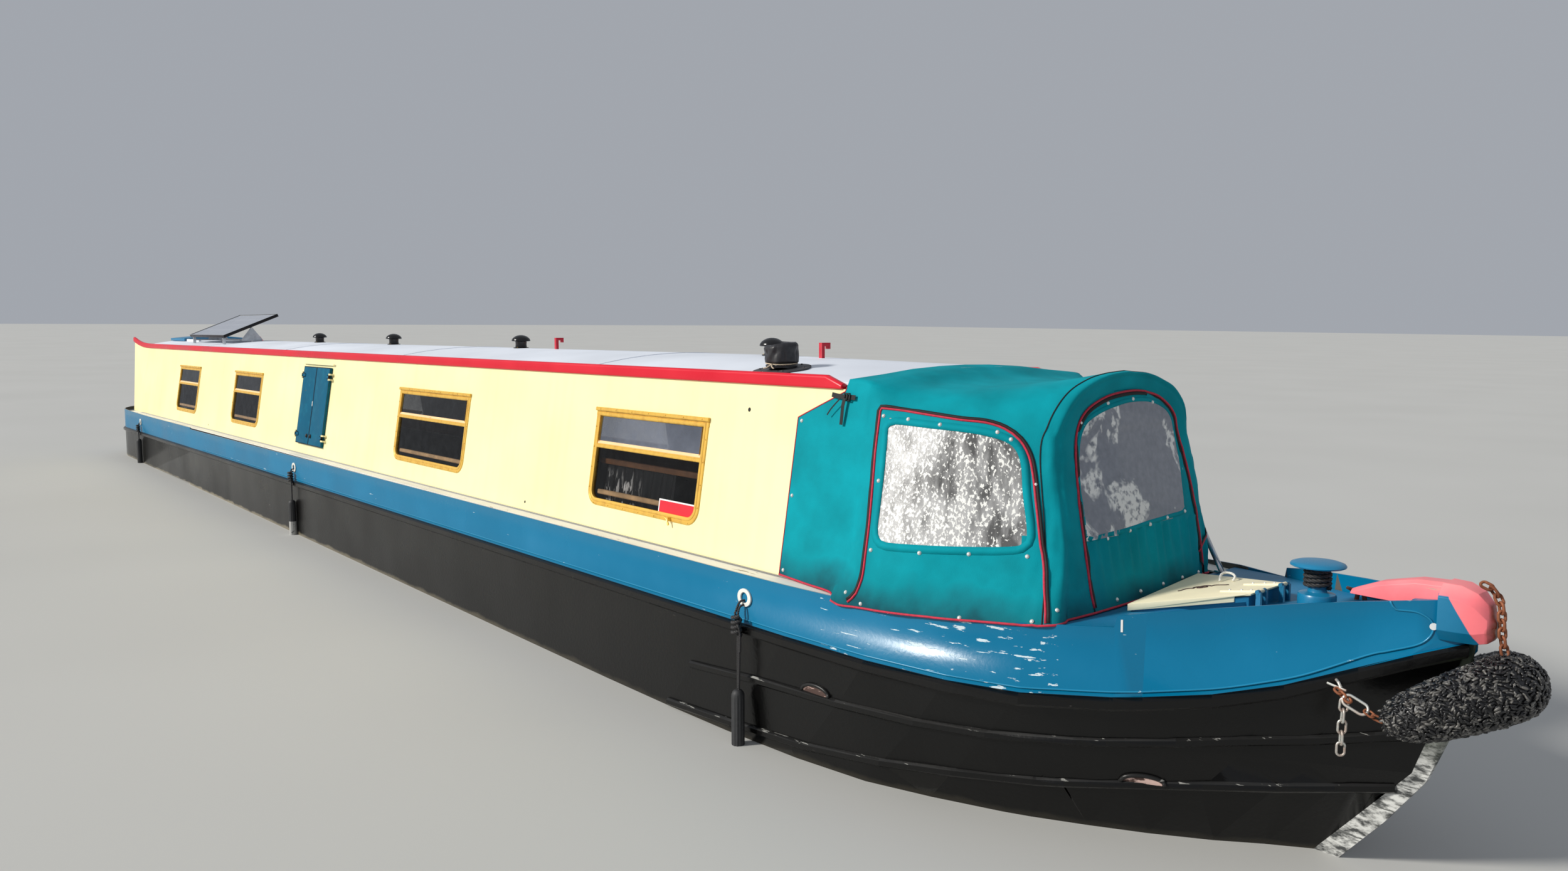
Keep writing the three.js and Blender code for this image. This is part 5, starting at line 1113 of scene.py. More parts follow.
def disc(point, normal, radius, sides=16, lift=0.0004):
    across = normal.orthogonal().normalized()
    up = normal.cross(across)
    ring = [point + normal * lift + across * (radius * cos(tau * k / sides))
            + up * (radius * sin(tau * k / sides)) for k in range(sides)]
    return ring, [tuple(range(sides))]


# The holes are flat dark discs: painted shade for their hollows.
marks = [disc(on_side(5.889, 0.777, 0), side_normal(), 0.011), disc(on_side(-7.62, 0.66, 0), side_normal(), 0.014),
         disc(on_side(3.7, 0.055, 0), side_normal(), 0.009), disc(on_side(-4.1, 0.05, 0), side_normal(), 0.009)]
fit("side_drain_holes", mesh_of("holes", *joined(*marks), smooth=False), hole_painted_shade)
side_bead = [tube([(-7.6, s * 0.9465, 1.2085), (6.4, s * 0.9465, 1.2085)], 0.0045, 6) for s in (-1, 1)]
fit("cabin_foot_weld", mesh_of("weld", *joined(*side_bead)), rim_grey)


# Windows. Gold-anodised frames screwed to the cabin side: square at the top under a thick bar, round at the
# bottom, with a hopper light over a transom and a fixed pane below; pale timber sills inside.
WINDOW_SPANS = ((-5.71, -4.72), (-3.22, -2.21), (1.455, 2.73), (4.46, 5.573))
WINDOW_LOW, WINDOW_HIGH, WINDOW_CORNER = 0.139, 0.709, 0.095
TRANSOM_V = WINDOW_LOW + 0.62 * (WINDOW_HIGH - WINDOW_LOW)


def window_ring(aft, fore, inset):
    """The window's outline drawn in by an inset, with round bottom corners and square top ones."""
    radius = max(WINDOW_CORNER - inset, 0.008)
    ring = []
    for x, start in ((aft + inset + radius, pi), (fore - inset - radius, 1.5 * pi)):
        ring += [(x + radius * cos(start + k * pi / 12),
                  WINDOW_LOW + inset + radius + radius * sin(start + k * pi / 12)) for k in range(7)]
    return [*ring, (fore - inset, WINDOW_HIGH - inset), (aft + inset, WINDOW_HIGH - inset)]


def moulding(rings, side, closed_section=True):
    """Faces between outlines that each stand out by their own distance: a frame's section carried round."""
    verts = [on_side(x, v, out, side) for ring, out in rings for x, v in ring]
    return verts, woven(len(rings), len(rings[0][0]), ring=closed_section)


def side_bar(x0, x1, section, side):
    """A bar along the cabin with a section of height and standing-out pairs."""
    verts = [on_side(x, v, out, side) for x in (x0, x1) for v, out in section]
    n = len(section)
    return verts, woven(2, n) + caps(n, 2 * n)


def solid(name, verts, faces, sharp=35, bevel=0.0):
    """A closed mesh with its faces turned outward, its hard edges kept and, if asked, eased."""
    work = bmesh.new()
    made = [work.verts.new(v) for v in verts]
    for face in faces:
        if len(set(face)) > 2:
            work.faces.new([made[i] for i in face])
    bmesh.ops.recalc_face_normals(work, faces=work.faces)
    if bevel:
        eased(work, bevel, sharp)
    mesh = bpy.data.meshes.new(name)
    work.to_mesh(mesh)
    work.free()
    mesh.polygons.foreach_set("use_smooth", [True] * len(mesh.polygons))
    mesh.set_sharp_from_angle(angle=radians(sharp))
    return mesh


def glass_look(tree, shader, place):
    # The panes are a part-opaque near-black sheet, painted shade for the unlit cabin behind them, patchy like dust; the
    # upper panes of the foremost windows carry a painted reflection of grey cloud.
    wavy = mottle(tree, place, 3.0, 1.0)
    dust_and_shade_noise = mottle(tree, place, 16.0, 4.0)
    parts = axes(tree, place)
    upper = ramp(tree, parts["Z"], 1.688, 1.694)
    cloud = blend(tree, wavy, (44, 50, 62), (122, 128, 142))
    foremost_windows = ramp(tree, parts["X"], 3.6, 4.0)
    painted_sky_share = maths(tree, "MULTIPLY", upper, foremost_windows)
    colour = blend(tree, painted_sky_share, (12, 12, 10), cloud)
    dust_and_shade = ramp(tree, dust_and_shade_noise, 0.4, 0.75, 0.44, 0.6)
    haze = maths(tree, "MULTIPLY_ADD", upper, 0.32, dust_and_shade)
    bump = relief(tree, wavy, 0.15, 0.02)
    feed(tree, shader, {"Alpha": haze, "Normal": bump, "Base Color": colour, "Roughness": 0.04, "Metallic": 0.0})


brass = metal("gold_anodised", (236, 190, 84), 0.36, (150, 104, 40), tarnish=0.5, metallic=0.35)
window_glass = material("window_glass", glass_look)
pale_timber = aged_paint("pale_sill_timber", (250, 204, 150), (190, 150, 104), 0.55, wear=0.1, patch=12)
rubber = dyed("black_rubber", (20, 20, 20), 0.6)


def crinkled_look(tree, shader, place):
    """A gathered dark film with painted white highlights on broken creases over its lower, aft part."""
    parts = axes(tree, place)
    drawn = drawn_out(tree, place, (1.0, 1.0, 0.22), (0, 0.35, 0))
    creases = mottle(tree, drawn, 46.0, 3.0, Distortion=0.6)
    lower = ramp(tree, parts["Z"], 1.56, 1.46)
    aft = ramp(tree, parts["X"], 4.92, 4.8)
    painted_crease_highlight = ramp(tree, creases, 0.56, 0.62)
    where = maths(tree, "MULTIPLY", lower, aft)
    share = maths(tree, "MULTIPLY", painted_crease_highlight, where)
    colour = blend(tree, share, (16, 16, 17), (250, 250, 250))
    feed(tree, shader, {"Base Color": colour, "Roughness": 0.3})


curtain_cloth = material("dark_curtain", crinkled_look)
OUTER_BAR = ((0.7155, 0.0004), (0.7155, 0.0125), (0.7115, 0.016), (0.698, 0.016), (0.6935, 0.0125), (0.6935, 0.004),
             (0.668, 0.004), (0.664, 0.0004))
for number, (aft, fore) in enumerate(WINDOW_SPANS, 1):
    for side, hand in HANDS:
        section = [(0.0, 0.0003), (0.0, 0.0035), (0.003, 0.0058), (0.012, 0.0064), (0.015, 0.0045), (0.021, 0.0045),
                   (0.024, 0.0076), (0.034, 0.008), (0.038, 0.0062), (0.0405, 0.0062), (0.0405, -0.013),
                   (0.0225, -0.013), (0.0225, -0.0002)]
        outer = moulding([(window_ring(aft, fore, inset), out) for inset, out in section], side)
        top_bar = side_bar(aft - 0.003, fore + 0.003, OUTER_BAR, side)
        t = TRANSOM_V
        transom = side_bar(aft + 0.036, fore - 0.036,
                           ((t - 0.016, -0.009), (t - 0.016, 0.0045), (t - 0.012, 0.0075), (t + 0.002, 0.0075),
                            (t + 0.005, 0.0045), (t + 0.008, 0.0045), (t + 0.008, -0.009)), side)
        stiles = [moulding([(((x - 0.006, t + 0.02), (x + 0.006, t + 0.02), (x + 0.006, 0.668), (x - 0.006, 0.668)),
                             out) for out in (-0.006, 0.0035)], side, False) for x in (aft + 0.05, fore - 0.05)]
        frame_mesh = solid(f"window_{number}_{hand}", *joined(outer, top_bar, transom, *stiles), sharp=32)
        fit(f"window_frame_{number}_{hand}", frame_mesh, brass, replaces=[f"window_{number}_{hand}"])
        ledge = side_bar(aft + 0.044, fore - 0.044,
                         ((t + 0.008, -0.008), (t + 0.008, 0.003), (t + 0.011, 0.0045), (t + 0.026, -0.001),
                          (t + 0.026, -0.008)), side)
        sill = side_bar(aft + 0.075, fore - 0.05,
                        ((0.205, -0.052), (0.205, -0.02), (0.21, -0.016), (0.228, -0.016), (0.232, -0.02),
                         (0.232, -0.052)), side)
        fit(f"window_timber_{number}_{hand}", solid("timber", *joined(ledge, sill)), pale_timber)
        lower = window_ring(aft, fore, 0.04)[:-2] + [(fore - 0.04, t - 0.01), (aft + 0.04, t - 0.01)]
        upper = [(aft + 0.04, t + 0.004), (fore - 0.04, t + 0.004), (fore - 0.04, 0.672), (aft + 0.04, 0.672)]
        panes_in = [[on_side(x, v, -0.007, side) for x, v in lower],
                    [on_side(x, v, -0.004 if v > 0.6 else -0.0015, side) for x, v in upper]]
        if side > 0:
            panes_in = [pane[::-1] for pane in panes_in]
        glass_parts = joined(*((pane, [tuple(range(len(pane)))]) for pane in panes_in))
        fit(f"window_glass_{number}_{hand}", mesh_of("glass", *glass_parts, smooth=False), window_glass)
        gasket = moulding([(lower, out) for out in (-0.0065, -0.0035)], side, False)
        inner = [(x + (0.004 if x < (aft + fore) / 2 else -0.004), v) for x, v in lower]
        gasket = joined(moulding([(lower, -0.0062), (inner, -0.0045)], side, False), gasket)
        fit(f"window_gasket_{number}_{hand}", mesh_of("gasket", *gasket), rubber)
        screws = [on_side(aft + 0.0105, v, 0.0064, side) for v in (0.24, 0.36, 0.48, 0.6)]
        screws += [on_side(fore - 0.0105, v, 0.0064, side) for v in (0.24, 0.36, 0.48, 0.6)]
        count = 7 if fore - aft < 1.2 else 9
        screws += [on_side(aft + 0.08 + (fore - aft - 0.16) * k / (count - 1), 0.1495, 0.0064, side)
                   for k in range(count)]
        screws += [on_side(aft + 0.05 + (fore - aft - 0.1) * k / (count - 1), 0.705, 0.016, side) for k in range(count)]
        fasteners(f"window_screws_{number}_{hand}", [(p, side_normal(side)) for p in screws], 0.0042, brass)

# Inside the fore starboard window. A dark gathered curtain on a timber rail, a blank red plate edged in white,
# and the brass catch at the frame's foot.
rail_v = 0.385
rail = side_bar(4.47, 5.56, ((rail_v, -0.075), (rail_v, -0.055), (rail_v + 0.03, -0.052), (rail_v + 0.034, -0.075)), -1)
fit("curtain_rail", solid("rail", *rail, bevel=0.002), lining)
drape, across_count, down_count = [], 150, 18
for j in range(down_count + 1):
    for i in range(across_count + 1):
        share, down = i / across_count, j / down_count
        swing = 0.011 * sin(share * 46 + 0.8 * fold(Vector((share * 7, down, 0)))) * (0.55 + 0.45 * down)
        drape.append(on_side(4.52 + 0.72 * share + 0.004 * fold(Vector((share * 5, down * 2, 3))),
                             rail_v + 0.004 - 0.285 * down, -0.072 + swing))
drape_faces = woven(down_count + 1, across_count + 1, round_it=False)
curtain = fit("curtain_fore", mesh_of("curtain", drape, drape_faces), curtain_cloth)
plate_red = aged_paint("red_plate", (222, 34, 52), (180, 60, 60), 0.4)
plate_white = aged_paint("white_plate_edge", (245, 245, 242), (200, 200, 196), 0.4)
plate_parts = [moulding([(((5.195 + e, 0.166 + e), (5.53 - e, 0.166 + e), (5.53 - e, 0.25 - e), (5.195 + e, 0.25 - e)),
                          out) for e, out in section], -1, False)
               for section in (((0.0, -0.0068), (0.0, -0.005), (0.008, -0.005)), ((0.008, -0.0053), (0.04, -0.0053)))]
fit("plate_edge", mesh_of("plate_edge", *plate_parts[0], smooth=False), plate_white)
field = [on_side(x, v, -0.0053) for x, v in ((5.203, 0.174), (5.522, 0.174), (5.522, 0.242), (5.203, 0.242))]
fit("plate_field", mesh_of("plate_field", field, [(0, 1, 2, 3)], smooth=False), plate_red)
catch = joined(tube([on_side(5.33, 0.15, 0.006), on_side(5.33, 0.15, 0.026)], 0.011, 12),
               tube([on_side(5.3, 0.158, 0.024), on_side(5.33, 0.15, 0.026), on_side(5.347, 0.12, 0.024)], 0.0055, 8))
fit("window_catch", solid("catch", *catch), brass)


# Side hatch. Two flush steel leaves in faded blue on lift-off butts, with brown rust round their edges, a pair
# of round knobs near the foot, and a white drip strip above.
def hatch_tint(tree, place, paint):
    mottled = mottle(tree, place, 14.0, 5.0)
    seen = ramp(tree, mottled, 0.5, 0.78, 0.0, 0.5)
    return blend(tree, seen, paint, (30, 116, 140))


hatch_blue = aged_paint("faded_blue", (4, 88, 118), (96, 84, 62), 0.5, wear=0.1, patch=5, tint=hatch_tint, shine=0.1)
hinge_rust = aged_paint("rusty_hinge", (44, 28, 22), (24, 20, 20), 0.8, wear=0.25, patch=30, shine=0.15)


def leaf_part(middle, normal):
    return 1 if middle.x < -0.8725 or middle.x > -0.1575 else 0


HATCH_LEAVES = (("aft", -0.87, -0.5185), ("fore", -0.5115, -0.16))
for hand, x0, x1 in HATCH_LEAVES:
    body = f"side_hatch_{hand}"
    dress(f"hatch_leaf_{hand}", f"side_hatch_leaf_{hand}", [hatch_blue, hinge_rust], "blue_enamel", body=body,
          width=0.0016, sharp=40, sort=leaf_part)
    edge = [on_side(x, v, 0.0252) for x, v in ((x0, .093), (x1, .093), (x1, .821), (x0, .821))]
    inner = [on_side(x + dx, v + dv, 0.0256)
             for x, v, dx, dv in ((x0, .093, .005, .006), (x1, .093, -.005, .006), (x1, .821, -.005, -.006),
                                  (x0, .821, .005, -.006))]
    fit(f"hatch_edge_{hand}", mesh_of("edge", edge + inner, woven(2, 4), smooth=False), hinge_rust,
        body=body)
    knob_x = x1 - 0.045 if hand == "aft" else x0 + 0.045
    hinge_x = x0 + 0.03 if hand == "aft" else x1 - 0.03
    studs = [(on_side(knob_x, 0.175, 0.026), side_normal())]
    fasteners(f"hatch_knob_{hand}", studs, 0.019, rubber, body=body)
    straps = [ribbon([(on_side(hinge_x + a, v, 0.0252), side_normal()) for a in (-0.026, 0, 0.022)], -0.019, 0.019,
                     0.003) for v in (0.177, 0.737)]
    fit(f"hatch_hinge_{hand}", solid("hinge", *joined(*straps)), hinge_rust, body=body)
    bolts = [(on_side(hinge_x + a, v + b, 0.028), side_normal()) for v in (0.177, 0.737)
             for a, b in ((-0.014, 0.009), (0.012, -0.009))]
    fasteners(f"hatch_bolts_{hand}", bolts, 0.0045, hinge_rust, body=body)
drip = side_bar(-0.932, -0.098, ((0.8435, 0.0002), (0.8435, 0.0125), (0.8565, 0.0105), (0.8565, 0.0002)), -1)
fit("drip_strip", solid("drip", *drip, bevel=0.001), plate_white)
hasp = side_bar(-0.523, -0.507, ((0.455, 0.0255), (0.455, 0.03), (0.5, 0.03), (0.5, 0.0255)), -1)
fit("hatch_hasp", solid("hasp", *hasp, bevel=0.001), stud_white, body="side_hatch_fore")


# Handrails and roof. The rails are hollow steel boxes in bright red along each edge of the roof, swept up at
# the stern; the roof is cambered plate in pale grey, its sheets welded across, with two red pole racks.
red_enamel = aged_paint("gloss_red", (212, 10, 40), (150, 20, 40), 0.3, wear=0.03, patch=2.0, bump=0.2)
for node in ("handrail_port", "handrail_starboard"):
    dress(f"{node}_box", node, red_enamel, "red_enamel", width=0.0045, sharp=40)


def roof_part(middle, normal):
    return 1 if abs(middle.y - 0.02) < 0.06 and middle.z > 2.2245 else 0


roof_grey = aged_paint("pale_grey_roof", (226, 232, 242), (186, 190, 194), 0.55, wear=0.09, patch=1.2, bump=0.3)
rack_red = aged_paint("rack_red", (190, 22, 48), (120, 60, 50), 0.45, wear=0.12, patch=20)
dress("roof_plate", "roof", [roof_grey, rack_red], "roof_paint", width=0.0015, sharp=35, sort=roof_part)


ROOF_HALF, ROOF_EDGE_Z = 0.7697, 2.135


def roof_z(x, y):
    camber = 0.085 - 0.027 * max(0.0, (x - 5.0) / 1.7)
    return ROOF_EDGE_Z + camber * (1 - (y / ROOF_HALF) ** 2)


welds = []
for x in (-5.1, -2.0, 1.1, 4.2):
    welds.append(tube([(x, y / 100, roof_z(x, y / 100) + 0.0008) for y in range(-74, 75, 4)], 0.0026, 6))
fit("roof_welds", mesh_of("welds", *joined(*welds)), roof_grey)


def turned(profile, middle, segments=32, tilt=None):
    """A shape turned on an upright axis from radius and height pairs."""
    turn = tilt or Matrix.Identity(3)
    verts = []
    for r, z in profile:
        for k in range(segments):
            a = tau * k / segments
            verts.append(Vector(middle) + turn @ Vector((r * cos(a), r * sin(a), z)))
    return verts, woven(len(profile), segments) + caps(segments, len(verts))


# Mushroom vents. Four turned brass caps on necks along the middle of the roof, in gloss black enamel chipped
# back to the brass, each screwed down through its flange with four brass screws.
vent_black = aged_paint("vent_black", (18, 18, 20), (150, 120, 66), 0.22, wear=0.07, patch=25, bump=0.15)
VENT_PROFILE = ((0.0, 0.0004), (0.062, 0.0004), (0.062, 0.004), (0.058, 0.006), (0.05, 0.007), (0.046, 0.01),
                (0.044, 0.03), (0.046, 0.052), (0.052, 0.056), (0.07, 0.055), (0.075, 0.058), (0.075, 0.063),
                (0.071, 0.073), (0.062, 0.084), (0.048, 0.094), (0.03, 0.102), (0.012, 0.1055), (0.0, 0.106))
for number, x in enumerate((-2.954, -0.779, 1.895, 5.085), 1):
    foot = (x, 0, roof_z(x, 0) + 0.0004)
    fit(f"vent_{number}", solid(f"vent_{number}", *turned(VENT_PROFILE, foot), sharp=40), vent_black,
        replaces=[f"mushroom_vent_{number}"])
    spots = [(Vector(foot) + Vector((0.054 * cos(a), 0.054 * sin(a), 0.0066)), Vector((0, 0, 1)))
             for a in (0.5, 2.07, 3.64, 5.21)]
    fasteners(f"vent_screws_{number}", spots, 0.0036, brass)

# Flue. A cast collar on a wide steel disc bolted to the roof, bagged in black sheet against the rain; the bag
# is bunched over the top and tied round with pale cord.
FLUE_X, FLUE_Y = 5.844, -0.567
lean = Matrix.Rotation(-2 * 0.0716 * FLUE_Y / ROOF_HALF ** 2, 3, "X")
disc_black = aged_paint("flue_disc", (62, 62, 66), (120, 112, 104), 0.6, wear=0.16, patch=9)
flue_foot = Vector((FLUE_X, FLUE_Y, roof_z(FLUE_X, FLUE_Y) + 0.001))
plate = turned(((0, 0), (0.155, 0), (0.155, 0.004), (0.152, 0.006), (0, 0.0065)), flue_foot, 48, lean)
fit("flue_disc", solid("flue_disc", *plate, sharp=40), disc_black, replaces=["flue_collar"])
spots = [(flue_foot + lean @ Vector((0.128 * cos(a), 0.128 * sin(a), 0.0065)), lean @ Vector((0, 0, 1)))
         for a in (0.4, 1.45, 2.5, 3.54, 4.6, 5.6)]
fasteners("flue_bolts", spots, 0.007, disc_black)
wrap, wrap_around, wrap_up = [], 72, 30
for j in range(wrap_up + 1):
    share = j / wrap_up
    for k in range(wrap_around):
        turn = tau * k / wrap_around
        radius = 0.08 + 0.006 * sin(share * 3.0) - (0.01 if 0.1 < share < 0.2 else 0)
        if share > 0.72:
            radius = 0.083 * max(0.0, 1 - ((share - 0.72) / 0.28) ** 1.6)
        lumps = 0.009 * fold(Vector((cos(turn) * 2.2, sin(turn) * 2.2, share * 3.1)))
        lumps += 0.004 * fold(Vector((cos(turn) * 7, sin(turn) * 7, share * 5)))
        radius = max(0.0, radius + lumps * (1 if share < 0.9 else 0.3))
        height = 0.008 + 0.128 * min(1.0, share / 0.8) + 0.006 * fold(Vector((turn, share * 4, 1.0)))
        slump = 0.012 * sin(turn + 0.8) * share
        wrap.append(flue_foot + Vector((radius * cos(turn), radius * sin(turn), height + slump - 0.004 * share)))
bag_black = dyed("black_sheet", (40, 40, 44), 0.42)
bag = fit("flue_bag", mesh_of("flue_bag", wrap, woven(wrap_up + 1, wrap_around)), bag_black)
tie = [flue_foot + Vector((0.082 * cos(a), 0.082 * sin(a), 0.03 + 0.003 * sin(2 * a)))
       for a in [tau * k / 40 for k in range(41)]]
tails = [[flue_foot + Vector(p) for p in route] for route in
         (((0.02, -0.084, 0.03), (0.03, -0.094, 0.022), (0.045, -0.1, 0.012), (0.06, -0.104, 0.01)),
          ((0.02, -0.084, 0.03), (0.012, -0.096, 0.02), (0.0, -0.104, 0.011), (-0.015, -0.11, 0.009)))]
pale_cord = dyed("pale_cord", (214, 196, 170), 0.8)
tie_piece = fit("flue_tie", mesh_of("tie", *joined(laid_rope(tie, 0.004, 0.02),
                                                   *(laid_rope(smooth_path(t, 0.004), 0.0035, 0.018) for t in tails))),
                pale_cord)


# Solar panel. A glazed panel of pale blue-grey cells in a thin frame, tipped to starboard on a central pivot
# over two triangular end plates, with adjustable legs under its low edge.
SOLAR_TILT = radians(22.6)
SOLAR_PIVOT = Vector((0, -0.208, 2.382))
SOLAR_ENDS = (-6.45, -4.8)
uphill = Vector((0, cos(SOLAR_TILT), sin(SOLAR_TILT)))
off_panel = Vector((0, -sin(SOLAR_TILT), cos(SOLAR_TILT)))


def on_panel(x, across, out):
    return Vector((x, 0, 0)) + SOLAR_PIVOT + uphill * across + off_panel * (0.032 + out)


def panel_box(x0, x1, a0, a1, low, high):
    corners = [on_panel(x, a, o) for o in (low, high) for x, a in ((x0, a0), (x1, a0), (x1, a1), (x0, a1))]
    return corners, [(3, 2, 1, 0), (4, 5, 6, 7), (0, 1, 5, 4), (1, 2, 6, 5), (2, 3, 7, 6), (3, 0, 4, 7)]


def cells_look(tree, shader, place):
    fine = drawn_out(tree, place, (260.0, 4.0, 4.0))
    lines = put(tree, "ShaderNodeTexWave", {"Vector": fine, "Scale": 1.0, "Distortion": 0.0})
    tone = mottle(tree, place, 2.5, 2.0)
    blue = blend(tree, tone, (118, 128, 148), (168, 174, 186))
    seen = blend(tree, lines.outputs["Fac"], blue, (178, 182, 192))
    feed(tree, shader, {"Base Color": seen, "Roughness": 0.22, "Coat Weight": 0.5})


x0, x1 = SOLAR_ENDS
frame_parts = [panel_box(x0, x1, -0.35, -0.34, -0.0175, 0.0185), panel_box(x0, x1, 0.34, 0.35, -0.0175, 0.0185),
               panel_box(x0, x0 + 0.01, -0.34, 0.34, -0.0175, 0.0185),
               panel_box(x1 - 0.01, x1, -0.34, 0.34, -0.0175, 0.0185)]
black_frame = metal("black_anodised", (30, 30, 34), 0.4, metallic=0.6)
silver = metal("dull_aluminium", (196, 200, 204), 0.35, (140, 140, 140), metallic=0.9)
fit("solar_frame", solid("solar_frame", *joined(*frame_parts), bevel=0.001), black_frame,
    body="solar_panel", replaces=["solar_panel"])
lip = [panel_box(x0 + 0.001, x1 - 0.001, a, a + 0.012, 0.0186, 0.0194) for a in (-0.349, 0.337)]
lip += [panel_box(x, x + 0.012, -0.337, 0.337, 0.0186, 0.0194) for x in (x0 + 0.001, x1 - 0.013)]
fit("solar_lip", solid("solar_lip", *joined(*lip)), silver, body="solar_panel")
backing = panel_box(x0 + 0.01, x1 - 0.01, -0.34, 0.34, 0.006, 0.0125)
fit("solar_backing", solid("solar_backing", *backing),
    aged_paint("white_backing", (206, 208, 212), (180, 180, 182), 0.5), body="solar_panel")
cell_parts = []
for i in range(10):
    for j in range(4):
        cx, ca = x0 + 0.025 + i * 0.1605, -0.331 + j * 0.1665
        cell_parts.append(panel_box(cx, cx + 0.1555, ca, ca + 0.1605, 0.0125, 0.0145))
fit("solar_cells", solid("solar_cells", *joined(*cell_parts)), material("solar_cells", cells_look),
    body="solar_panel")
dress("solar_stand", "solar_mount", silver, "bare_steel", width=0.0012, sharp=40)
spots = [(Vector((-4.8395, -0.208, z)), Vector((1, 0, 0))) for z in (2.382, 2.22)]
fasteners("solar_pivot_bolts", spots, 0.011, stud_white)


# Side fenders. Moulded rubber tubes with flutes along them and a knob at the top for the rope: dull black, one
# scraped white at its foot and one over its lower half. Above each, a white-painted oval eye on the hull.
fender_black = dyed("fender_rubber", (46, 47, 49), 0.62)
fender_scraped = aged_paint("scraped_rubber", (176, 176, 172), (70, 70, 70), 0.6, wear=0.2, patch=20)
EYE_WIDER = 1.5
eye_white = aged_paint("eye_white", (232, 230, 222), (120, 100, 84), 0.5, wear=0.1, patch=30)
FENDER_PROFILE = ((0.0, 0.012), (0.004, 0.02), (0.012, 0.027), (0.024, 0.0315), (0.04, 0.032), (0.34, 0.032),
                  (0.356, 0.0315), (0.368, 0.026), (0.374, 0.018), (0.38, 0.012))
for name, x, out, top, _, _ in SIDE_FENDERS:
    rings, sides = [], 60
    profile = [*FENDER_PROFILE[:5], *((d / 100, 0.032) for d in range(6, 34, 2)), *FENDER_PROFILE[5:]]
    for down, radius in profile:
        for k in range(sides):
            turn = tau * k / sides
            flute = 1 - (0.075 * (0.5 + 0.5 * cos(12 * turn)) ** 3 if 0.03 < down < 0.35 else 0)
            rings.append((x + radius * flute * cos(turn), -out + radius * flute * sin(turn), top - down))
    faces = woven(len(profile), sides)
    faces += [tuple(range(sides)), tuple(range(len(rings) - sides, len(rings)))]
    rubber_mesh = solid(f"side_fender_{name}", rings, faces, sharp=60)
    scraped_below = {"fore": top - 0.33, "middle": top - 0.19, "aft": -9}[name]
    for poly in rubber_mesh.polygons:
        poly.material_index = int(poly.center.z < scraped_below)
    fit(f"side_fender_{name}_tube", rubber_mesh, [fender_black, fender_scraped],
        replaces=[f"side_fender_{name}"])
    eye_mesh = copied(f"fender_eye_{name}", width=0.0018, sharp=50)
    eye_middle = sum(v.co.x for v in eye_mesh.vertices) / len(eye_mesh.vertices)
    for v in eye_mesh.vertices:
        v.co.x = eye_middle + (v.co.x - eye_middle) * EYE_WIDER
    fit(f"fender_eye_{name}_oval", eye_mesh, eye_white, replaces=[f"fender_eye_{name}"])


# Bow fender. A core wrapped in knotted three-strand rope, worked round in short slanting stitches, black and
# shiny with wear, with painted grey highlights on its strands; it is chained to a pad each side and to the stem
# head's front.
def strands(tree, given):
    bead = first(tree, "GeometryNodeMeshUVSphere", {"Segments": 6, "Rings": 4, "Radius": 0.5})
    size = first(tree, "ShaderNodeCombineXYZ", {0: given["Length"], 1: given["Width"], 2: given["Width"]})
    drawn = first(tree, "GeometryNodeTransform", {"Geometry": bead, "Scale": size})
    sizes = put(tree, "FunctionNodeRandomValue", {2: 0.84, 3: 1.18, "Seed": given["Seed"]}, data_type="FLOAT")
    return set_out(tree, given, drawn, aimed(tree, "X"), sizes.outputs[1])


strands_tree = geometry_tree("rope_strands",
                             [("Length", "Float"), ("Width", "Float"), ("Seed", "Int"), ("Finish", "Material")],
                             strands)
BOW_FENDER = ((8.7565, -0.272, 1.018, 0.04), (8.7945, -0.26, 1.03, 0.074), (8.8645, -0.226, 1.058, 0.098),
              (8.9545, -0.155, 1.106, 0.11), (9.0275, -0.072, 1.142, 0.115), (9.0465, 0.0, 1.15, 0.116))
half_fender = [Vector(row) for row in BOW_FENDER]
whole_fender = half_fender + [Vector((p[0], -p[1], p[2], p[3])) for p in half_fender[-2::-1]]
held = [whole_fender[0], *whole_fender, whole_fender[-1]]
fender_line = [curve_point(*four, k / 12) for four in zip(held, held[1:], held[2:], held[3:]) for k in range(12)]
fender_line.append(whole_fender[-1])
fender_rows = along([p.xyz for p in fender_line])
fender_radii = [p[3] for p in fender_line]
rope_black_gloss = dyed("glossy_black_rope", (30, 30, 33), 0.34)


def strand_look(tree, shader, place):
    # Each strand comes out dark or grey at random; the grey ones are painted highlights for the rope's worn shine.
    each = put(tree, "ShaderNodeTexVoronoi", {"Vector": place, "Scale": 62.0})
    grey = put(tree, "ShaderNodeSeparateColor", {0: each.outputs["Color"]})
    share = ramp(tree, grey.outputs[0], 0.55, 1.0)
    colour = blend(tree, share, (22, 22, 24), (112, 110, 106))
    fibres = mottle(tree, place, 500.0)
    bump = relief(tree, fibres, 0.35, 0.001)
    feed(tree, shader, {"Base Color": colour, "Normal": bump, "Roughness": 0.36})


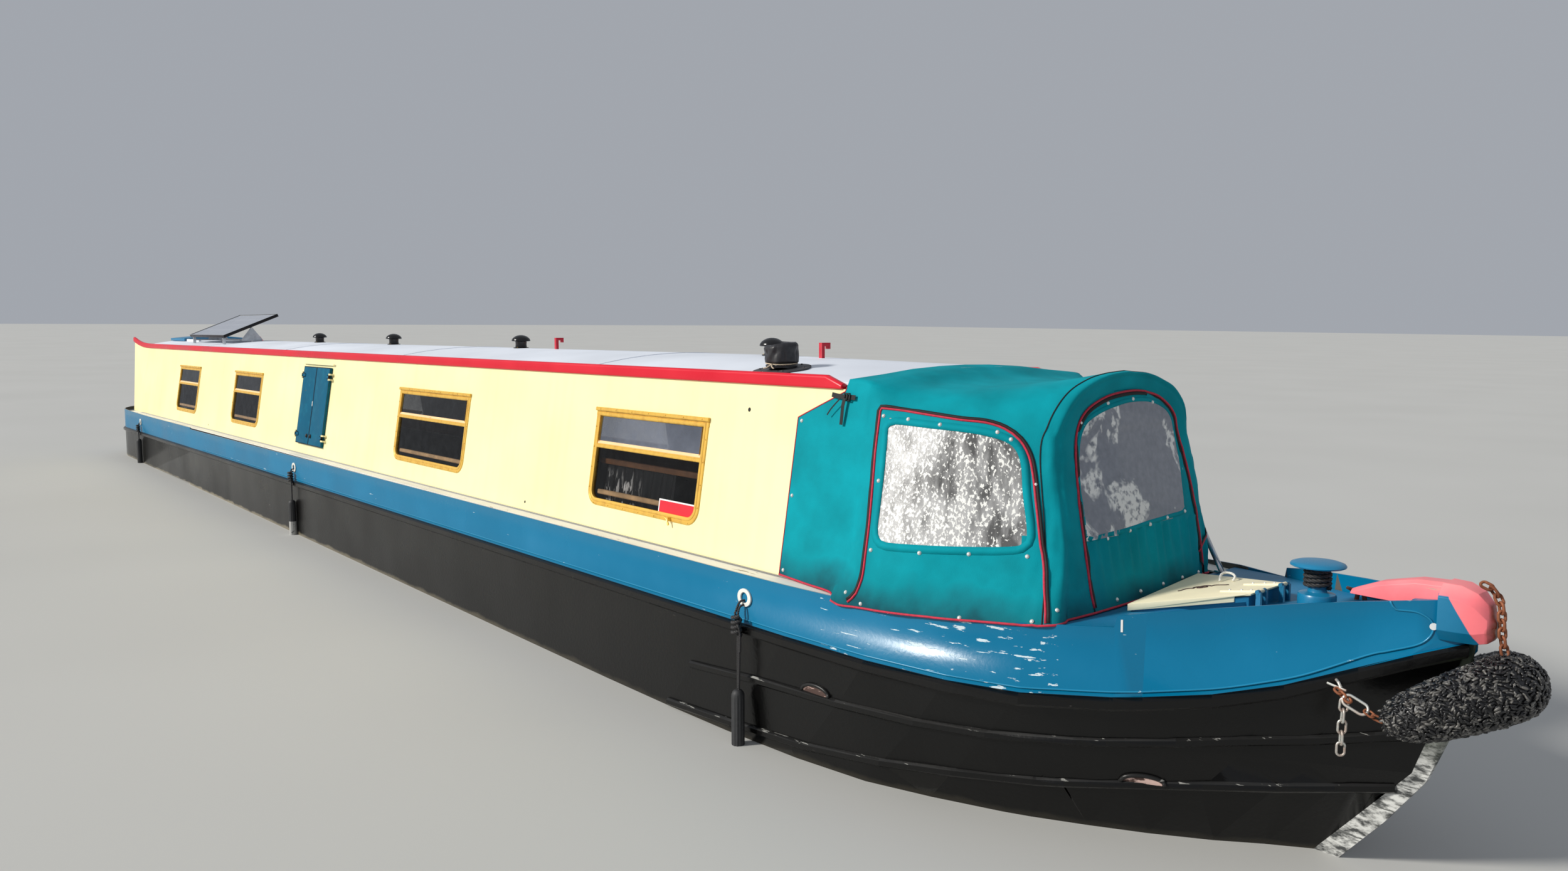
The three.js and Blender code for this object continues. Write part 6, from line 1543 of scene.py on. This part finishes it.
fender_strands = material("fender_strands", strand_look)
core_verts, core_faces = tube([row[0] for row in fender_rows], [r - 0.008 for r in fender_radii], 28)
fit("bow_fender_core", solid("bow_fender_core", core_verts, core_faces, sharp=80), rope_black_gloss,
    replaces=["bow_fender"])
stitch_spots, stitch_aims = [], []
gone, row_index = 0.0, 0
for (before, after), r in zip(zip(fender_rows, fender_rows[1:]), fender_radii):
    step = (after[0] - before[0]).length
    while gone <= step:
        point = before[0].lerp(after[0], gone / step)
        _, ahead, across, up = before
        count = max(10, round(tau * r / 0.0108))
        for k in range(count):
            turn = tau * (k + 0.5 * (row_index % 2)) / count
            wobble = fold(Vector((row_index * 1.7, k * 2.3, 0.5)))
            outward = across * cos(turn) + up * sin(turn)
            around = up * cos(turn) - across * sin(turn)
            place = point + outward * (r - 0.0045 + 0.004 * wobble) + ahead * (0.014 * wobble)
            slant = 0.6 * (1 if row_index % 2 else -1) + 1.3 * fold(Vector((k * 1.9, row_index * 2.1, 4.5)))
            stitch_spots.append(place)
            stitch_aims.append(ahead * cos(slant) + around * sin(slant) + outward * 0.5 * wobble)
        gone += 0.0165
        row_index += 1
    gone -= step
for (point, ahead, across, up), r, way in ((fender_rows[0], fender_radii[0], -1),
                                           (fender_rows[-1], fender_radii[-1], 1)):
    for ring in range(3):
        radius = r * (0.82 - 0.33 * ring)
        count = max(4, round(tau * radius / 0.012))
        for k in range(count):
            turn = tau * k / count
            outward = across * cos(turn) + up * sin(turn)
            around = up * cos(turn) - across * sin(turn)
            stitch_spots.append(point + outward * radius + ahead * way * 0.004 * ring)
            stitch_aims.append(around + outward * 0.5)
stitch_sizes = {"Length": 0.03, "Width": 0.0098, "Seed": 7, "Finish": fender_strands}
stitch_mesh = grown("bow_fender_rope", seeds("stitches", stitch_spots, stitch_aims), strands_tree, stitch_sizes)
fit("bow_fender_rope", stitch_mesh, fender_strands)


# Chains. Short welded links, part galvanised and part rusted, shackled from a pad on each bow to the fender's
# end with a spare length hanging, and down the stem head's front to its middle.
def chain_links(tree, given):
    loop = first(tree, "GeometryNodeCurvePrimitiveQuadrilateral", {"Width": given["Long"], "Height": given["Wide"]})
    rounded = first(tree, "GeometryNodeFilletCurve", {"Curve": loop, "Radius": 1.0, "Count": 6, "Limit Radius": True},
                    mode="POLY")
    wire = first(tree, "GeometryNodeCurvePrimitiveCircle", {"Resolution": 8, "Radius": given["Wire"]})
    link = first(tree, "GeometryNodeCurveToMesh", {"Curve": rounded, "Profile Curve": wire})
    roll = first(tree, "GeometryNodeInputNamedAttribute", {"Name": "roll"}, data_type="FLOAT")
    about = first(tree, "ShaderNodeCombineXYZ", {0: roll})
    euler = first(tree, "FunctionNodeEulerToRotation", {0: about})
    turn = first(tree, "FunctionNodeRotateRotation", {0: aimed(tree, "X"), 1: euler}, rotation_space="LOCAL")
    return set_out(tree, given, link, turn)


chain_tree = geometry_tree("chain_links",
                           [("Long", "Float"), ("Wide", "Float"), ("Wire", "Float"), ("Finish", "Material")],
                           chain_links)


def chain(name, path, long, wide, wire, finish, first_roll=0.4, replaces=()):
    """Links along a path, each turned a quarter from the last."""
    pitch = long - 2 * wire
    line = smooth_path(path, 0.002)
    spots, aims, gone = [], [], pitch / 2
    for a, b in zip(line, line[1:]):
        step = (b - a).length
        while gone <= step:
            spots.append(a.lerp(b, gone / step))
            aims.append((b - a).normalized())
            gone += pitch
        gone -= step
    seed = seeds(name, spots, aims)
    rolls = seed.attributes.new("roll", "FLOAT", "POINT")
    rolls.data.foreach_set("value", [first_roll + 0.5 * pi * (i % 2) for i in range(len(spots))])
    mesh = grown(name, seed, chain_tree, {"Long": long, "Wide": wide, "Wire": wire, "Finish": finish})
    return fit(name, mesh, finish, replaces=replaces)


rusty = metal("rusty_chain", (150, 92, 62), 0.62, (84, 42, 26), tarnish=0.9, metallic=0.35)
galvanised = metal("galvanised_chain", (206, 206, 200), 0.38, (150, 96, 66), tarnish=0.7, metallic=0.75)
for side, hand in HANDS:
    def at(x, out, z):
        return Vector((x, side * out, z))
    pad_at, pad_normal = on_skin(8.575, 1.105, side)
    pad_out = abs(pad_at.y)
    eye = tube([pad_at + pad_normal * 0.002 + Vector((0, 0, 0.012)),
                pad_at + pad_normal * 0.02 + Vector((0.004, 0, 0.008)),
                pad_at + pad_normal * 0.024 + Vector((0.012, 0, -0.006)),
                pad_at + pad_normal * 0.014 + Vector((0.014, 0, -0.018)),
                pad_at + pad_normal * 0.001 + Vector((0.008, 0, -0.018))], 0.0055, 10)
    toggle = tube([pad_at + pad_normal * 0.022 + Vector((-0.036, 0, -0.002)),
                   pad_at + pad_normal * 0.028 + Vector((0.03, 0, -0.014))], 0.0045, 8)
    fit(f"chain_pad_{hand}", solid(f"chain_pad_{hand}", *joined(eye, toggle)), galvanised)
    start = pad_out + 0.03
    chain(f"chain_joint_{hand}",
          [at(8.59, start, 1.092), at(8.612, start + 0.006, 1.08), at(8.634, start + 0.01, 1.066)], 0.03, 0.02, 0.0048,
          rusty)
    chain(f"chain_long_link_{hand}",
          [at(8.626, start + 0.01, 1.07), at(8.662, start + 0.008, 1.053), at(8.699, start - 0.002, 1.036)], 0.088,
          0.04, 0.0052, galvanised, 1.1, replaces=[f"fender_chain_{hand}"])
    chain(f"chain_small_links_{hand}", [at(8.694, start, 1.039), at(8.73, 0.292, 1.026), at(8.775, 0.283, 1.014)], 0.04,
          0.021, 0.0038, rusty)
    if side < 0:
        chain("chain_tail",
              [at(8.625, start + 0.012, 1.066), at(8.622, start + 0.014, 1.0), at(8.62, start + 0.013, 0.93),
               at(8.619, start + 0.012, 0.868)], 0.05, 0.027, 0.0045, galvanised, 0.9)
chain("stem_chain",
      [(8.95, -0.006, 1.498), (8.984, -0.006, 1.48), (9.008, -0.004, 1.436), (9.015, -0.004, 1.38), (9.019, 0, 1.315),
       (9.03, 0, 1.258)], 0.04, 0.024, 0.0052, rusty, 0.7)


# Locker lid. A flanged steel lid in cream, gritty on top, hinged forward on two straps, with a white rope loop
# to lift it by and a small painted scroll.
lid_cream = aged_paint("lid_cream", (250, 240, 204), (214, 190, 140), 0.5, wear=0.07, patch=4)
lid_mesh = splayed(copied("locker_lid", width=0.003, segments=3, sharp=40))
fit("locker_lid_plate", lid_mesh, lid_cream, body="locker_lid", replaces=["locker_lid"])
lid_skin = skin_of(lid_mesh)


def on_lid(x, y, lift=0.0012):
    return lid_skin.ray_cast(Vector((x, y, 2.0)), Vector((0, 0, -1)))[0] + Vector((0, 0, lift))


scroll_ink = aged_paint("scroll_paint", (60, 40, 34), (200, 180, 150), 0.5, wear=0.15, patch=40)
scrolls = []
for turn_way in (-1, 1):
    curl = [(turn_way * (0.012 + 0.026 * cos(a) * (1 - a / 9)), 0.024 * sin(a) * (1 - a / 9))
            for a in [k * 0.45 for k in range(15)]]
    leaf = [(turn_way * (0.036 + 0.07 * s), -turn_way * 0.006 + 0.012 * sin(5 * s))
            for s in [k / 10 for k in range(11)]]
    for route, wide in ((curl, 0.0042), (leaf, 0.0032)):
        scrolls.append(tube([on_lid(7.903 + 0.6 * a - 0.8 * b, 0.8 * a + 0.6 * b, 0.0002) for a, b in route], wide, 6))
fit("lid_scroll", mesh_of("scroll", *joined(*scrolls)), scroll_ink, body="locker_lid")
loop = [on_lid(7.9, 0.15, 0.003), on_lid(7.892, 0.166, 0.016), on_lid(7.886, 0.19, 0.028), on_lid(7.896, 0.208, 0.032),
        on_lid(7.922, 0.208, 0.028), on_lid(7.944, 0.192, 0.02), on_lid(7.95, 0.178, 0.011),
        on_lid(7.948, 0.168, 0.003)]
handle_white = dyed("white_handle_cord", (236, 234, 226), 0.7)
fit("lid_handle", mesh_of("handle", *laid_rope(smooth_path(loop, 0.004), 0.0058, 0.024)), handle_white,
    body="locker_lid")
spots = [(on_lid(x, s * STRAP_AT, 0.0), Vector((0, 0, 1))) for x in (8.075, 8.125, 8.165) for s in (-1, 1)]
fasteners("lid_hinge_bolts", spots, 0.0055, stud_white, body="locker_lid")


# Mooring stud. A mushroom-headed post on the foredeck in blue enamel, its head scuffed bright by ropes, with
# four turns of thick black mooring rope still round it.
stud_blue = aged_paint("stud_blue", (24, 120, 162), (190, 206, 214), 0.28, wear=0.1, patch=12)
STUD_FOOT = (8.38, 0.0, 1.309)
STUD_PROFILE = ((0.0, 0.0004), (0.07, 0.0004), (0.07, 0.044), (0.066, 0.052), (0.052, 0.056), (0.036, 0.06),
                (0.034, 0.066), (0.034, 0.142), (0.04, 0.152), (0.06, 0.156), (0.094, 0.157), (0.1, 0.16),
                (0.101, 0.164), (0.097, 0.17), (0.08, 0.176), (0.055, 0.18), (0.03, 0.182), (0.0, 0.183))
fit("mooring_post", solid("mooring_post", *turned(STUD_PROFILE, STUD_FOOT, 56), sharp=45), stud_blue,
    replaces=["mooring_stud"])
TURNS, TURN_RADIUS, TURN_ROPE = 4, 0.044, 0.0088
helix = [(8.38 + TURN_RADIUS * cos(a), TURN_RADIUS * sin(a), 1.385 + 0.0174 * a / tau) for a in
         [tau * TURNS * k / 160 for k in range(161)]]
turns_length = sum((Vector(b) - Vector(a)).length for a, b in zip(helix, helix[1:]))
turns_rope = fit("mooring_turns", mesh_of("mooring_turns", *laid_rope(helix, TURN_ROPE, 0.055, 8)), rope_black)
tuple(helix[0])
[tuple(p) for p in helix]

# Foredeck fittings. A brown two-horned cleat welded to the port side of the deck, a small white pad on the bow
# each side of the stem, and a thin white strip down the edge where the bulwark steps up.
cleat_brown = aged_paint("brown_cleat", (112, 62, 44), (60, 40, 34), 0.6, wear=0.12, patch=20)
cleat_z = foredeck_z(8.441)
cleat = joined(tube([(8.385, 0.25, cleat_z + 0.04), (8.41, 0.25, cleat_z + 0.034), (8.441, 0.25, cleat_z + 0.032),
                     (8.472, 0.25, cleat_z + 0.036), (8.497, 0.25, cleat_z + 0.044)],
                    [0.006, 0.009, 0.011, 0.009, 0.006], 10),
               tube([(8.425, 0.25, cleat_z - 0.002), (8.43, 0.25, cleat_z + 0.03)], 0.009, 10),
               tube([(8.457, 0.25, cleat_z - 0.002), (8.452, 0.25, cleat_z + 0.03)], 0.009, 10))
fit("deck_cleat", solid("deck_cleat", *cleat), cleat_brown)
for side, hand in HANDS:
    pad_point, pad_normal = on_skin(8.824, 1.333, side)
    fit(f"bow_pad_{hand}", mesh_of("pad", *disc(pad_point, pad_normal, 0.013, 16, 0.005), smooth=False), plate_white)
    step = [on_skin(x, z, side) for x, z in ((7.954, 1.236), (7.954, 1.25), (7.954, 1.268), (7.954, 1.284))]
    step_rows = [(p + n * 0.0008, n) for p, n in step]
    fit(f"bulwark_step_{hand}", mesh_of("step", *ribbon(step_rows, -0.004, 0.004, 0.0008), smooth=False), plate_white)


# Inside and stern. Cratch hoop and ridge in bright tube, boarded cabin sole, well floor, painted engine, bronze
# propeller, rudder on its stock, and the sliding hatch; the bulkheads are cream and the doors blue with cream
# mouldings, both lined with varnished ply.
def boards_look(tree, shader, place):
    rows = put(tree, "ShaderNodeTexBrick",
               {"Vector": place, "Color1": light((150, 104, 64)), "Color2": light((128, 86, 52)),
                "Mortar": light((44, 30, 22)), "Scale": 1.0, "Mortar Size": 0.004, "Brick Width": 1.6,
                "Row Height": 0.12})
    bump = relief(tree, rows.outputs["Fac"], 0.4, -0.003)
    feed(tree, shader, {"Base Color": rows.outputs["Color"], "Normal": bump, "Roughness": 0.5})


boards = material("sole_boards", boards_look)
bright_tube = metal("bright_tube", (206, 210, 214), 0.26)
engine_green = aged_paint("engine_green", (46, 92, 72), (30, 30, 28), 0.5, wear=0.15, patch=6)
bronze = metal("bronze", (178, 128, 64), 0.32, (70, 90, 70), tarnish=0.7)
dress("cratch_tubes", "cratch_frame", bright_tube, "bare_steel", flat=False, sharp=50)
dress("sole_boards", "cabin_sole", boards, "sole_wood", width=0.001)
dress("well_floor_plate", "well_floor", gritty("well_paint", (120, 120, 116), (90, 92, 90)), "dark_deck", width=0.001)
dress("engine_casting", "engine_block", engine_green, "engine_paint", width=0.014, segments=3, sharp=40)
dress("propeller_casting", "propeller", bronze, "propeller_bronze", body="propeller", width=0.0015, sharp=30)
steering_black = aged_paint("steering_black", (24, 24, 26), (120, 70, 46), 0.4, wear=0.12, patch=8)
dress("rudder_blade", "rudder", steering_black, "steering_black", body="rudder", width=0.0015, sharp=40)
hatch_paint = aged_paint("sliding_hatch_blue", (30, 118, 160), (170, 190, 200), 0.4, wear=0.08, patch=4)
dress("sliding_hatch_plate", "sliding_hatch", hatch_paint, "blue_enamel", body="sliding_hatch", width=0.004, segments=3,
      sharp=40)


def fore_wall(middle, normal):
    return 1 if normal.x < -0.5 else 0


def aft_wall(middle, normal):
    return 1 if normal.x > 0.5 else 0


dress("front_bulkhead_plate", "front_bulkhead", [cream, lining], "cream_enamel", sharp=30, sort=fore_wall)
dress("rear_bulkhead_plate", "rear_bulkhead", [cream, lining], "cream_enamel", sharp=30, sort=aft_wall)
DOORS = (("front", 6.6455, 1, 0.765, fore_wall), ("rear", -8.1155, -1, 1.22, aft_wall))
for place_name, face_x, way, sill, sort in DOORS:
    for hand, side in (("starboard", -1), ("port", 1)):
        node = f"{place_name}_door_{hand}"
        dress(f"{node}_leaf", node, [hatch_paint, lining], "blue_enamel", body=node, width=0.0012, sharp=40, sort=sort)
        beads = []
        for low, high in ((sill + 0.06, sill + 0.3), (sill + 0.36, 1.92)):
            ring = [Vector((face_x + way * 0.0012, side * y, z))
                    for y, z in ((0.05, low), (0.25, low), (0.25, high), (0.05, high))]
            beads.append(tube([*ring, ring[0]], 0.006, 8))
        fit(f"{node}_panels", mesh_of("panels", *joined(*beads)), cream, body=node)
        knob = turned(((0, 0), (0.011, 0), (0.009, 0.006), (0.006, 0.01), (0.006, 0.018), (0.015, 0.024),
                       (0.017, 0.031), (0.012, 0.038), (0, 0.04)), (face_x, side * 0.03, (sill + 1.98) / 2), 20,
                      Matrix.Rotation(way * pi / 2, 3, "Y"))
        fit(f"{node}_knob", solid("knob", *knob), brass, body=node)
